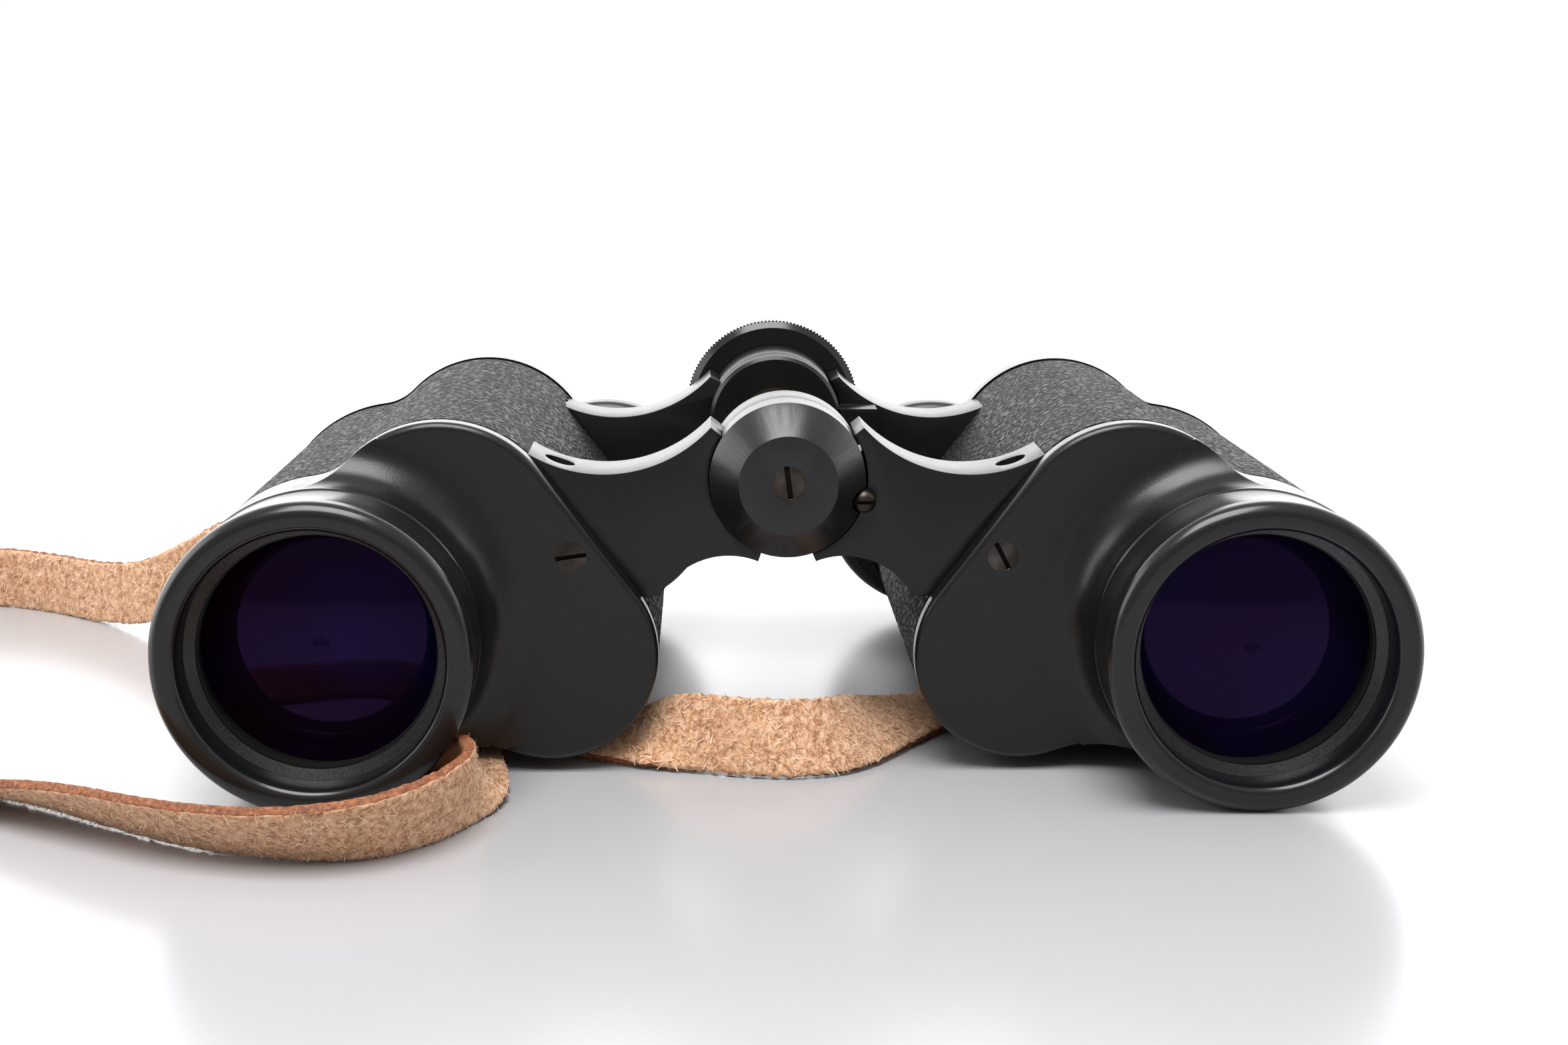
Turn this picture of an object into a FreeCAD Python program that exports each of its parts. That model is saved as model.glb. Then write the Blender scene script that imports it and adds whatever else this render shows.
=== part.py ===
import FreeCAD, Part
import os
from math import acos, asin, atan2, cos, hypot, pi, radians, sin, sqrt, tan

V = FreeCAD.Vector

# Porro-prism binoculars, 8 x 30 class, millimetres.
# The design frame has its origin on the hinge axis in the plane where the front covers
# seat: +X to the user's right as seen from the front, +Y toward the eyes, +Z up.
# put() moves every finished piece from there to the part frame, whose origin is on the
# surface that the binoculars stand on, under the middle of their length.

# ---- driving dimensions -------------------------------------------------------------
housing_length = 68.0           # from the front cover's seat to the rear cover's seat
front_overhang = 22.5           # objective ring's front edge, ahead of the front seat
rear_overhang = 25.5            # eyecup's rear edge, behind the rear seat
rear_length = housing_length + rear_overhang

objective_x = 60.2              # objective axis from the hinge axis
objective_drop = 19.46
eyepiece_x = 28.2               # eyepiece axis from the hinge axis
eyepiece_drop = 19.9

lens_radius = 15.9              # objective lenses
cell_bore = lens_radius - 0.8
cell_radius = lens_radius + 1.15
retainer_bore = lens_radius - 0.55
ring_mouth = lens_radius + 0.8
neck_bore = cell_radius + 0.35
ring_radius = neck_bore + 2.9
barrel_radius = neck_bore + 2.7  # housing round the objective axis
hinge_height = objective_drop + ring_radius     # the rings rest on the surface

mouth_front = -front_overhang + 0.6     # straight wall of the ring's mouth
mouth_back = mouth_front + 4.2
retainer_front, retainer_back = mouth_back + 0.1, mouth_back + 1.5
cell_back = retainer_back + 11.6
lens_back = cell_back - 1.4

upper_lobe_x, upper_lobe_drop, upper_lobe_radius = 46.0, 8.6, 16.6
lower_lobe_x, lower_lobe_drop, lower_lobe_radius = 31.6, 23.7, 14.35
upper_hollow_radius = 8.0       # concave joins of the outline
lower_hollow_radius = 20.0

housing_wall = 1.8
covering = 0.6                  # leatherette thickness
covering_inset = 1.2            # bare metal edge at each end of the leatherette
cover_thickness = 3.0
rear_cover_thickness = 2.8
rear_cover_rim = 0.2            # the rear cover stands this much proud

neck_length = 6.8               # collar of the front cover, round the objective
neck_fillet = 6.0
neck_front = -cover_thickness - neck_length

axle_radius = 5.5
axle_bore = axle_radius - 1.9
sleeve_bore = axle_radius + 1.5
sleeve_radius = sleeve_bore + 2.4
cap_radius, cap_face_radius = sleeve_radius + 1.05, sleeve_radius - 2.85
rear_lug_radius = sleeve_radius + 0.85
running_gap = 0.04                      # radial clearance of a running fit
end_gap = 0.15                          # clearance along the hinge between turning faces
hub_gap = 0.12                          # between an arm's hollow and the round hub
lug_gap = 0.35                          # between the right arms and the left half's rings
bush_lip, lip_gap = 0.5, 0.3            # shoulder behind each bush, and its clearance on the axle

arm_front, arm_back = 0.05, 10.9        # front arms, along Y
cap_front, cap_bevel_back, cap_back = -5.33, -1.25, 4.3
front_lug_back = arm_back + 0.2
root_radius, root_top, root_back = sleeve_radius + 6.6, 2.0, arm_back + 5.6
rear_arm_front, rear_arm_back = housing_length - 10.4, housing_length - 0.05
rear_lug_back = rear_arm_back
collar_front, collar_chamfer = rear_arm_front - 5.2, 0.5

wheel_radius, wheel_front, wheel_back = 14.05, housing_length + 1.0, housing_length + 9.4
wheel_hub_radius = axle_radius + 1.5
spindle_radius, stud_radius = axle_bore - 0.4, axle_bore - 1.2
spindle_front, spindle_back = 24.0, housing_length + 18.0

tube_radius, tube_wall = 13.0, 1.4
tube_front, tube_back = housing_length + 4.8, housing_length + 18.1
guide_radius, guide_back = tube_radius + 1.5, housing_length + 9.4
eyepiece_boss_radius = guide_radius + 0.1       # round bulge of the rear cover
diopter_radius, diopter_back = tube_radius + 3.2, housing_length + 18.0
ocular_radius = tube_radius - tube_wall - 0.4
eyecup_radius, eyecup_front = tube_radius + 5.0, housing_length + 19.5
cell_step = rear_length - 5.8                   # shoulder behind the eye lens

bridge_front, bridge_back = housing_length + 11.6, housing_length + 15.4
bridge_hub_radius = 7.2
bridge_arm_width = 8.5

prism_leg = 16.0                # how far the beam's corner stands above the axes' middle
prism_width = 17.0
shelf_front = housing_length / 2 - 1.0
shelf_back = shelf_front + 2.6
clamp_width, clamp_thickness, clamp_foot = 6.0, 0.8, 4.0
foot_margin = 1.5               # shelf left between a clamp's foot and the objective's hole
prism_margin = 0.5              # between a prism and the housing wall

cover_screw_radius = 2.1
cover_screw_x, cover_screw_drop = 28.8, 10.0
screw_post_length, front_screw_depth, rear_screw_depth = 8.0, 9.0, 6.0
screw_shank = 1.0
lock_screw_x, lock_screw_drop, lock_screw_radius = cap_radius - 0.2, 2.8, 1.55
cap_screw_place, cap_screw_radius, cap_screw_shank = (0, 0.4), 2.2, 1.3
lug_length, lug_thickness, lug_slot, lug_slot_width = 16.0, 3.0, 11.6, 2.6
lug_reach = 8.0

strap_width, strap_thickness = 10.3, 1.4

# ---- small helpers ------------------------------------------------------------------
objective = (objective_x, -objective_drop)
eyepiece = (eyepiece_x, -eyepiece_drop)
upper_lobe = (upper_lobe_x, -upper_lobe_drop)
lower_lobe = (lower_lobe_x, -lower_lobe_drop)
middle = (rear_length - front_overhang) / 2


def put(shape):
    """Move a shape from the design frame to the part frame."""
    return shape.translated(V(0, -middle, hinge_height))


def save(name, shape):
    put(shape).exportStep("parts/" + name + ".step")


def mirrored(shape):
    return shape.mirror(V(0, 0, 0), V(1, 0, 0))


def save_pair(name, shape):
    """A piece of the right half and its mirror image on the left half."""
    save(name + "_right", shape)
    save(name + "_left", mirrored(shape))


def rod(centre, radius, front, back):
    """A round bar along +Y."""
    return Part.makeCylinder(radius, back - front, V(centre[0], front, centre[1]), V(0, 1, 0))


def tube(centre, outer, bore, front, back):
    return rod(centre, outer, front, back).cut(rod(centre, bore, front - 1, back + 1))


def turned(centre, profile):
    """A solid of revolution about the line along Y through centre.

    profile lists (radius, y) corners; a corner (radius, y, "arc", radius, y) is a
    rounded stretch through its first point to its second.
    """
    edges = []
    last = profile[0][:2]
    for corner in profile[1:] + profile[:1]:
        target = corner[3:] if len(corner) > 2 else corner
        a, b = V(last[0], last[1], 0), V(target[0], target[1], 0)
        if len(corner) > 2:
            edges.append(Part.Arc(a, V(corner[0], corner[1], 0), b).toShape())
        elif (b - a).Length > 1e-6:
            edges.append(Part.LineSegment(a, b).toShape())
        last = target
    face = Part.Face(Part.Wire(edges))
    solid = face.revolve(V(0, 0, 0), V(0, 1, 0), 360)
    return solid.translated(V(centre[0], 0, centre[1]))


def sphere_mid(radius, edge, crown):
    """Middle of a lens face's arc, from its rim at y = edge to the axis at y = crown."""
    rise = crown - edge
    ball = (radius * radius + rise * rise) / (2 * rise)
    angle = asin(radius / abs(ball)) / 2
    return (abs(ball) * sin(angle), crown - ball * (1 - cos(angle)))


def polar(centre, radius, angle):
    return (centre[0] + radius * cos(angle), centre[1] + radius * sin(angle))


def between(a, b):
    return hypot(b[0] - a[0], b[1] - a[1])


def arc_edge(centre, radius, start, end, clockwise):
    """A circular edge in the plane y = 0, turning the stated way."""
    a = atan2(start[1] - centre[1], start[0] - centre[0])
    b = atan2(end[1] - centre[1], end[0] - centre[0])
    if clockwise and b > a:
        b -= 2 * pi
    if not clockwise and b < a:
        b += 2 * pi
    mid = polar(centre, radius, (a + b) / 2)
    return Part.Arc(V(start[0], 0, start[1]), V(mid[0], 0, mid[1]), V(end[0], 0, end[1])).toShape()


def line_edge(start, end):
    return Part.LineSegment(V(start[0], 0, start[1]), V(end[0], 0, end[1])).toShape()


def hollow_centre(c1, r1, c2, r2, hollow, side):
    """Centre of the concave arc that touches two circles from outside."""
    d = between(c1, c2)
    along = ((r1 + hollow) ** 2 - (r2 + hollow) ** 2 + d * d) / (2 * d)
    across = side * sqrt((r1 + hollow) ** 2 - along ** 2)
    ux, uz = (c2[0] - c1[0]) / d, (c2[1] - c1[1]) / d
    return (c1[0] + ux * along - uz * across, c1[1] + uz * along + ux * across)


def toward(centre, radius, target):
    return polar(centre, radius, atan2(target[1] - centre[1], target[0] - centre[0]))


# ---- the housing's outline, right side ------------------------------------------------
def outline(grow):
    """Wire of the housing's outline in the plane y = 0, grown by a margin."""
    r_up = upper_lobe_radius + grow
    r_low = lower_lobe_radius + grow
    r_obj = barrel_radius + grow
    top = upper_hollow_radius - grow
    low = lower_hollow_radius - grow
    slope = atan2(upper_lobe[1] - lower_lobe[1], upper_lobe[0] - lower_lobe[0])
    normal = slope + acos((r_low - r_up) / between(lower_lobe, upper_lobe))
    low_start = polar(lower_lobe, r_low, normal)
    up_start = polar(upper_lobe, r_up, normal)
    top_centre = hollow_centre(upper_lobe, r_up, objective, r_obj, top, 1)
    low_centre = hollow_centre(lower_lobe, r_low, objective, r_obj, low, -1)
    up_end = toward(upper_lobe, r_up, top_centre)
    obj_start = toward(objective, r_obj, top_centre)
    obj_end = toward(objective, r_obj, low_centre)
    low_end = toward(lower_lobe, r_low, low_centre)
    return Part.Wire([
        line_edge(low_start, up_start),
        arc_edge(upper_lobe, r_up, up_start, up_end, True),
        arc_edge(top_centre, top, up_end, obj_start, False),
        arc_edge(objective, r_obj, obj_start, obj_end, True),
        arc_edge(low_centre, low, obj_end, low_end, False),
        arc_edge(lower_lobe, r_low, low_end, low_start, True),
    ])


def slab(wire, front, back):
    """A flat piece with this outline, from y = front to y = back."""
    return Part.Face(wire).extrude(V(0, back - front, 0)).translated(V(0, front, 0))


def housing_slab(grow, front, back):
    return slab(outline(grow), front, back)


# ---- one side's body ------------------------------------------------------------------
cavity = -covering - housing_wall
screw_post_radius = cover_screw_radius + 1.4
cover_screw = (cover_screw_x, -cover_screw_drop)


def prism_housing():
    shell = housing_slab(-covering, 0, housing_length)
    shell = shell.cut(housing_slab(cavity, -1, housing_length + 1))
    post = rod(cover_screw, screw_post_radius, 0, screw_post_length)
    post = post.common(housing_slab(-covering, 0, screw_post_length))
    return shell.fuse(post).cut(rod(cover_screw, screw_shank, -1, screw_post_length - 1)).removeSplitter()


def leatherette(arms):
    wrap = housing_slab(0, covering_inset, housing_length - covering_inset)
    wrap = wrap.cut(housing_slab(-covering, 0, housing_length)).cut(arms)
    return max(wrap.Solids, key=lambda solid: solid.Volume)


def screw_head(centre, radius, front, depth, slot_angle):
    """Countersunk slotted head, flush at y = front, with a short threaded shank."""
    head = turned(centre, [(0, front), (radius, front), (radius, front + 0.5),
                           (screw_shank, front + 0.5 + radius - screw_shank),
                           (screw_shank, front + depth), (0, front + depth)])
    slot = Part.makeBox(2 * radius + 1, 1.0, 0.6, V(-radius - 0.5, -0.4, -0.3))
    slot.rotate(V(0, 0, 0), V(0, 1, 0), slot_angle)
    return head.cut(slot.translated(V(centre[0], front, centre[1])))


def screw_seat(centre, radius, front, depth):
    """The hole that screw_head fills."""
    return turned(centre, [(0, front - 1), (radius, front - 1), (radius, front + 0.5),
                           (screw_shank, front + 0.5 + radius - screw_shank),
                           (screw_shank, front + depth), (0, front + depth)])


def front_cover():
    plate = housing_slab(0, -cover_thickness, 0)
    rim = [e for e in plate.Edges if abs(e.BoundBox.YMin + cover_thickness) < 1e-6
           and abs(e.BoundBox.YMax + cover_thickness) < 1e-6]
    plate = plate.makeFillet(1.0, rim)
    flare = barrel_radius + neck_fillet
    bend = neck_fillet * (1 - sqrt(0.5))
    collar = turned(objective, [
        (0, neck_front), (barrel_radius, neck_front), (barrel_radius, -cover_thickness - neck_fillet),
        (barrel_radius + bend, -cover_thickness - bend, "arc", flare, -cover_thickness),
        (flare, -cover_thickness + 1), (0, -cover_thickness + 1)])
    collar = collar.common(housing_slab(0, neck_front - 1, 0))
    cover = plate.fuse(collar)
    cover = cover.cut(rod(objective, neck_bore, neck_front - 1, 1))
    cover = cover.cut(screw_seat(cover_screw, cover_screw_radius, -cover_thickness, front_screw_depth))
    return cover.removeSplitter()


def rear_cover_slab(front, back):
    boss = rod(eyepiece, eyepiece_boss_radius, front, back)
    return housing_slab(rear_cover_rim, front, back).fuse(boss).removeSplitter()


lug_centre = (objective_x + barrel_radius - 9.5, -objective_drop)
rear_cover_back = housing_length + rear_cover_thickness
rear_screws = [(cover_screw_x + 19.0, -cover_screw_drop + 11.0, 20),
               (objective_x + 4.0, -objective_drop - barrel_radius + 4.7, 70)]     # x, z, slot angle


def rear_cover():
    cover = rear_cover_slab(housing_length, rear_cover_back)
    cover = cover.cut(rod(eyepiece, tube_radius - 0.1, housing_length - 1, rear_cover_back + 1))
    for place in rear_screws:
        cover = cover.cut(rear_screw_seat(place))
    return cover


def rear_screw_seat(place):
    seat = screw_seat(place[:2], cover_screw_radius, 0, rear_screw_depth)
    return seat.mirror(V(0, 0, 0), V(0, 1, 0)).translated(V(0, rear_cover_back, 0))


def rear_screw(place):
    head = screw_head(place[:2], cover_screw_radius, 0, rear_screw_depth, place[2])
    return head.mirror(V(0, 0, 0), V(0, 1, 0)).translated(V(0, rear_cover_back, 0))


def cover_screws(front_slot_angle):
    """The front cover's screw and the rear cover's two."""
    front = screw_head(cover_screw, cover_screw_radius, -cover_thickness, front_screw_depth, front_slot_angle)
    return [front] + [rear_screw(p) for p in rear_screws]


def strap_lug():
    """Eyelet plate that stands up from the rear cover, with a slot across it."""
    plate = Part.makeBox(lug_thickness, lug_reach, lug_length,
                         V(-lug_thickness / 2, 0, -lug_length / 2))
    ends = [e for e in plate.Edges if abs(e.BoundBox.YMin - lug_reach) < 1e-6
            and abs(e.BoundBox.YMax - lug_reach) < 1e-6 and e.BoundBox.XLength > 1]
    plate = plate.makeFillet(2.5, ends)
    slot = Part.makeBox(lug_thickness + 2, lug_slot_width, lug_slot,
                        V(-lug_thickness / 2 - 1, lug_reach - 2.0 - lug_slot_width, -lug_slot / 2))
    plate = plate.cut(slot)
    foot = Part.makeBox(9.0, 1.0, lug_length, V(-4.5, 0, -lug_length / 2))
    return plate.fuse(foot).removeSplitter().translated(V(lug_centre[0], rear_cover_back, lug_centre[1]))


# ---- hinge arms -----------------------------------------------------------------------
def arm_wire(top_centre, top_radius, outer_end, hub_radius):
    """Outline of one arm, from the round hub to inside the housing."""
    tip = (10.2, top_centre[1] - sqrt(top_radius ** 2 - (top_centre[0] - 10.2) ** 2))
    hub_top = toward((0, 0), hub_radius, (8.75, 5.78))
    hub_low = toward((0, 0), hub_radius, (3.4, -9.98))
    heel = (3.8 * hub_radius / cap_radius, -11.26)
    low_centre, low_radius = (7.8, -21.0), between((7.8, -21.0), heel)
    low_end = polar(low_centre, low_radius, atan2(5.0, 9.3))
    outer_top = (outer_end, top_centre[1] - sqrt(top_radius ** 2 - (outer_end - top_centre[0]) ** 2))
    return Part.Wire([
        arc_edge((0, 0), hub_radius, hub_top, hub_low, True),
        line_edge(hub_low, heel),
        arc_edge(low_centre, low_radius, heel, low_end, True),
        line_edge(low_end, (lower_lobe_x - 9, low_end[1])),
        line_edge((lower_lobe_x - 9, low_end[1]), (outer_end, -5.0)),
        line_edge((outer_end, -5.0), outer_top),
        arc_edge(top_centre, top_radius, outer_top, tip, True),
        line_edge(tip, hub_top),
    ])


def arm(front, back, hub_radius):
    top_centre, top_radius, outer_end = arm_tops[front > housing_length / 2]
    blank = slab(arm_wire(top_centre, top_radius, outer_end, hub_radius), front, back)
    return blank.cut(housing_slab(-covering, front - 1, back + 1))


def arm_root(front, back, hub_radius):
    """The low inner part of an arm, which carries on along the hinge to the sleeve."""
    low = Part.makeBox(2 * root_radius, back - front, 2 * root_radius + root_top,
                       V(-root_radius, front, -2 * root_radius))
    return arm(front, back, hub_radius).common(rod((0, 0), root_radius, front, back)).common(low)


arm_tops = [((24.5, 19.9), 19.3, 34.5), ((25.0, 20.14), 20.2, 35.8)]
grub_screw, grub_radius, grub_depth = (30.6, 1.6), 2.1, 1.1


def arm_recess(piece, middle_y):
    """Round hole in the arm's top, square to its slope, with the slotted grub screw in it."""
    cutter = Part.makeCylinder(grub_radius, 5.0, V(0, 0, -grub_depth))
    slot = Part.makeBox(2 * grub_radius - 0.6, 0.6, 1.0, V(0.3 - grub_radius, -0.3, -grub_depth - 0.6))
    slot.rotate(V(0, 0, 0), V(0, 0, 1), 35)
    cutter = cutter.fuse(slot)
    cutter.rotate(V(0, 0, 0), V(0, 1, 0), -17)
    return piece.cut(cutter.translated(V(grub_screw[0], middle_y, grub_screw[1])))


def left_arms():
    """Arms with the lug rings that hold the axle, as their mirror image on the right."""
    front = arm(arm_front, arm_back, cap_radius + hub_gap)
    ring = tube((0, 0), cap_radius, axle_radius, cap_back + end_gap, front_lug_back)
    root = arm(cap_back + end_gap, arm_back, cap_radius - 0.5)
    front = arm_recess(front.fuse(root).fuse(ring).removeSplitter(), (arm_front + arm_back) / 2)
    rear = arm(rear_arm_front, rear_arm_back, rear_lug_radius - 0.5)
    ring = tube((0, 0), rear_lug_radius, axle_radius, rear_arm_front, rear_lug_back)
    return mirrored(front), mirrored(rear.fuse(ring).removeSplitter())


def right_arms():
    """Arms that reach behind and ahead of the left half's rings, to the sleeve."""
    front = arm(arm_front, arm_back, cap_radius + lug_gap)
    web = arm_root(arm_back - 0.1, front_lug_back + end_gap, cap_radius + lug_gap)
    root = arm_root(front_lug_back + end_gap, root_back, sleeve_radius)
    front = arm_recess(front.fuse([web, root]).removeSplitter(), (arm_front + arm_back) / 2)
    rear = arm(rear_arm_front, rear_arm_back, rear_lug_radius + lug_gap)
    root = arm_root(collar_front, rear_arm_front - end_gap, rear_lug_radius)
    web = arm_root(rear_arm_front - end_gap, rear_arm_front + 0.1, rear_lug_radius + lug_gap)
    return front, rear.fuse([web, root]).removeSplitter()


# ---- centre hinge and focusing ----------------------------------------------------------
def front_cap():
    cap = turned((0, 0), [(0, cap_front), (cap_face_radius, cap_front), (cap_radius, cap_bevel_back),
                          (cap_radius, cap_back), (axle_radius, cap_back), (axle_radius, -1.0), (0, -1.0)])
    cap = cap.cut(rod(cap_screw_place, cap_screw_radius, cap_front - 1, cap_front + 1.2))
    cap = cap.cut(rod(cap_screw_place, cap_screw_shank, cap_front, 0))
    lock = rod((lock_screw_x, -lock_screw_drop), lock_screw_radius + 0.15, cap_front - 1, arm_front)
    return cap.cut(lock)


def cap_screw():
    head = rod(cap_screw_place, cap_screw_radius, cap_front - 0.05, cap_front + 1.2)
    head = head.fuse(rod(cap_screw_place, cap_screw_shank, cap_front, -1.0))
    slot = Part.makeBox(0.7, 0.8, 6, V(-0.35, cap_front - 0.4, -3))
    slot.rotate(V(0, 0, 0), V(0, 1, 0), -8)
    return head.cut(slot.translated(V(cap_screw_place[0], 0, cap_screw_place[1])))


def lock_screw():
    place = (lock_screw_x, -lock_screw_drop)
    head = turned(place, [(0, -2.3), (lock_screw_radius * 0.7, -2.1, "arc", lock_screw_radius, -1.4),
                          (lock_screw_radius, arm_front), (0, arm_front)])
    slot = Part.makeBox(4, 1.0, 0.5, V(place[0] - 2, -2.8, place[1] - 0.25))
    return head.cut(slot)


def hinge_sleeve():
    """The right half's two hinge rings, each with a lip that stops its bush."""
    front, back, lip = front_lug_back + end_gap, rear_arm_front - end_gap, axle_radius + lip_gap
    ring = turned((0, 0), [
        (sleeve_bore, front), (sleeve_radius, front), (sleeve_radius, root_back), (lip, root_back),
        (lip, root_back - bush_lip), (sleeve_bore, root_back - bush_lip)])
    edge = collar_front + collar_chamfer
    collar = turned((0, 0), [
        (lip, collar_front), (rear_lug_radius - collar_chamfer, collar_front), (rear_lug_radius, edge),
        (rear_lug_radius, back), (sleeve_bore, back), (sleeve_bore, collar_front + bush_lip),
        (lip, collar_front + bush_lip)])
    return Part.makeCompound([ring, collar])


def bushes():
    bore = axle_radius + running_gap
    return Part.makeCompound([
        tube((0, 0), sleeve_bore, bore, front_lug_back + end_gap + 0.4, root_back - bush_lip),
        tube((0, 0), sleeve_bore, bore, collar_front + bush_lip, rear_arm_front - end_gap - 0.4)])


def focus_wheel():
    hub_front = rear_lug_back + 0.6
    bore = axle_radius + running_gap
    return turned((0, 0), [
        (bore, hub_front), (wheel_hub_radius, hub_front), (wheel_hub_radius, wheel_front),
        (wheel_radius - 0.8, wheel_front), (wheel_radius, wheel_front + 0.8),
        (wheel_radius, wheel_back - 0.8), (wheel_radius - 0.8, wheel_back),
        (9.0, wheel_back), (9.0, wheel_back - 0.8), (spindle_radius + running_gap, wheel_back - 0.8),
        (spindle_radius + running_gap, wheel_front + 2.0), (bore, wheel_front + 2.0)])


def axle():
    return tube((0, 0), axle_radius, axle_bore, -1.0, wheel_front + 1.9)


def spindle():
    rod_part = rod((0, 0), spindle_radius, spindle_front, bridge_front)
    stud = rod((0, 0), stud_radius, bridge_front, spindle_back - 2.4)
    return rod_part.fuse(stud).removeSplitter()


def bridge_nut():
    """Slotted domed nut that keeps both bridge arms on the spindle's end."""
    seat = bridge_back + 0.05
    nut = turned((0, 0), [(stud_radius, seat), (5.2, seat), (5.2, seat + 0.95),
                          (3.6, spindle_back - 0.5, "arc", 0, spindle_back), (0, spindle_back - 2.4),
                          (stud_radius, spindle_back - 2.4)])
    return nut.cut(Part.makeBox(12, 2, 0.9, V(-6, spindle_back - 0.8, -0.45)))


bridge_middle = (bridge_front + bridge_back) / 2


def bridge_arm(front, back):
    """Arm from the spindle's end to the ring that holds an eyepiece tube."""
    reach = between((0, 0), eyepiece)
    tilt = atan2(eyepiece[1], eyepiece[0])
    half = bridge_arm_width / 2
    bar = Part.makeBox(reach, back - front, 2 * half, V(0, front, -half))
    bar.rotate(V(0, 0, 0), V(0, 1, 0), -tilt * 180 / pi)
    hub = rod((0, 0), bridge_hub_radius, front, back)
    ring = rod(eyepiece, tube_radius + 2.6, bridge_front, bridge_back)
    body = bar.fuse(hub).fuse(ring)
    body = body.cut(rod(eyepiece, tube_radius, bridge_front - 1, bridge_back + 1))
    return body.cut(rod((0, 0), stud_radius + running_gap, front - 1, back + 1)).removeSplitter()


# ---- objective -------------------------------------------------------------------------
def objective_ring():
    r = ring_radius
    front = -front_overhang
    return turned(objective, [
        (ring_mouth, mouth_front), (ring_mouth + 0.6, front),
        (r - 1.8, front), (r - 0.55, front + 0.5, "arc", r, front + 1.8),
        (r, front + 3.2), (r - 0.45, front + 5.0), (r - 0.45, neck_front - 1.2), (r - 0.1, neck_front - 0.5),
        (r - 0.1, neck_front), (neck_bore, neck_front), (neck_bore, neck_front + 4.0),
        (cell_radius, neck_front + 4.0), (cell_radius, mouth_back), (ring_mouth, mouth_back)])


def objective_cell():
    return turned(objective, [
        (cell_bore, retainer_back), (cell_radius, retainer_back), (cell_radius, cell_back),
        (cell_bore - 1.0, cell_back), (cell_bore - 1.0, lens_back), (lens_radius, lens_back),
        (lens_radius, retainer_back + 2.0), (cell_bore, retainer_back + 1.2)])


def retaining_ring():
    return turned(objective, [
        (retainer_bore, retainer_front + 0.7), (ring_mouth, retainer_front), (cell_radius, retainer_front),
        (cell_radius, retainer_back), (retainer_bore + 0.1, retainer_back)])


def lens(rim, front_rim, front_crown, back_rim, back_crown, centre):
    """Lens with spherical faces, from the rim and crown places of each face."""
    front_mid = sphere_mid(rim, front_rim, front_crown)
    back_mid = sphere_mid(rim, back_rim, back_crown)
    return turned(centre, [(0, front_crown), front_mid[:1] + front_mid[1:] + ("arc", rim, front_rim),
                           (rim, back_rim), back_mid + ("arc", 0, back_crown)])


def objective_doublet():
    """Cemented crown and flint lenses."""
    rim, back = lens_radius - 0.1, lens_back
    crown = lens(rim, back - 5.6, back - 7.8, back - 4.0, back - 2.0, objective)
    flint = lens(rim, back - 3.9, back - 1.9, back - 0.05, back - 0.6, objective)
    return Part.makeCompound([crown, flint])


# ---- prisms ------------------------------------------------------------------------------
def prism_layout():
    """Axis corner where the beam passes from one prism to the other, as a right angle."""
    mid = ((objective[0] + eyepiece[0]) / 2, (objective[1] + eyepiece[1]) / 2)
    return (mid[0], mid[1] + prism_leg)


fold_point = prism_layout()


def prism_between(a, b, seat, direction):
    """Right-angle prism whose wide face at y = seat covers the beams a and b."""
    span = between(a, b)
    height = span
    angle = -atan2(b[1] - a[1], b[0] - a[0]) * 180 / pi
    mid = ((a[0] + b[0]) / 2, (a[1] + b[1]) / 2)
    face = Part.Face(Part.makePolygon([V(-span, 0, 0), V(span, 0, 0), V(0, direction * height, 0),
                                       V(-span, 0, 0)]))
    prism = face.extrude(V(0, 0, prism_width)).translated(V(0, 0, -prism_width / 2))
    prism.rotate(V(0, 0, 0), V(0, 1, 0), angle)
    prism = prism.translated(V(mid[0], seat, mid[1]))
    lo, hi = (seat, seat + height) if direction > 0 else (seat - height, seat)
    return prism.common(housing_slab(cavity - prism_margin, lo - 1, hi + 1))


def prism_clamp(a, b, seat, direction):
    """Sprung strap over a prism's ridge, with feet on the shelf."""
    span = between(a, b)
    angle = -atan2(b[1] - a[1], b[0] - a[0]) * 180 / pi
    mid = ((a[0] + b[0]) / 2, (a[1] + b[1]) / 2)
    half, t, top = prism_width / 2 + 0.05, clamp_thickness, span - 2.4
    pieces = [Part.makeBox(clamp_width, t, 2 * (half + t), V(-clamp_width / 2, top, -half - t))]
    for side in (-1, 1):
        z = half if side > 0 else -half - t
        pieces.append(Part.makeBox(clamp_width, top + 0.1, t, V(-clamp_width / 2, 0, z)))
        z = half if side > 0 else -half - clamp_foot
        pieces.append(Part.makeBox(clamp_width, t, clamp_foot, V(-clamp_width / 2, 0, z)))
    clamp = pieces[0].fuse(pieces[1:]).removeSplitter()
    if direction < 0:
        clamp = clamp.mirror(V(0, 0, 0), V(0, 1, 0))
    clamp.rotate(V(0, 0, 0), V(0, 1, 0), angle)
    clamp = clamp.translated(V(mid[0], seat, mid[1]))
    clamp = clamp.common(housing_slab(cavity - 0.3, 2, housing_length - 2))
    return clamp.cut(prism_between(a, b, seat, direction))


def clamp_foot_centre(a, b):
    """Middle of the foot nearer to the objective, of the clamp over beams a and b."""
    along, reach = between(a, b), (prism_width + clamp_foot) / 2
    mid = ((a[0] + b[0]) / 2, (a[1] + b[1]) / 2)
    across = (abs(a[1] - b[1]) / along * reach, -abs(a[0] - b[0]) / along * reach)
    return (mid[0] + across[0], mid[1] + across[1])


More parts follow.
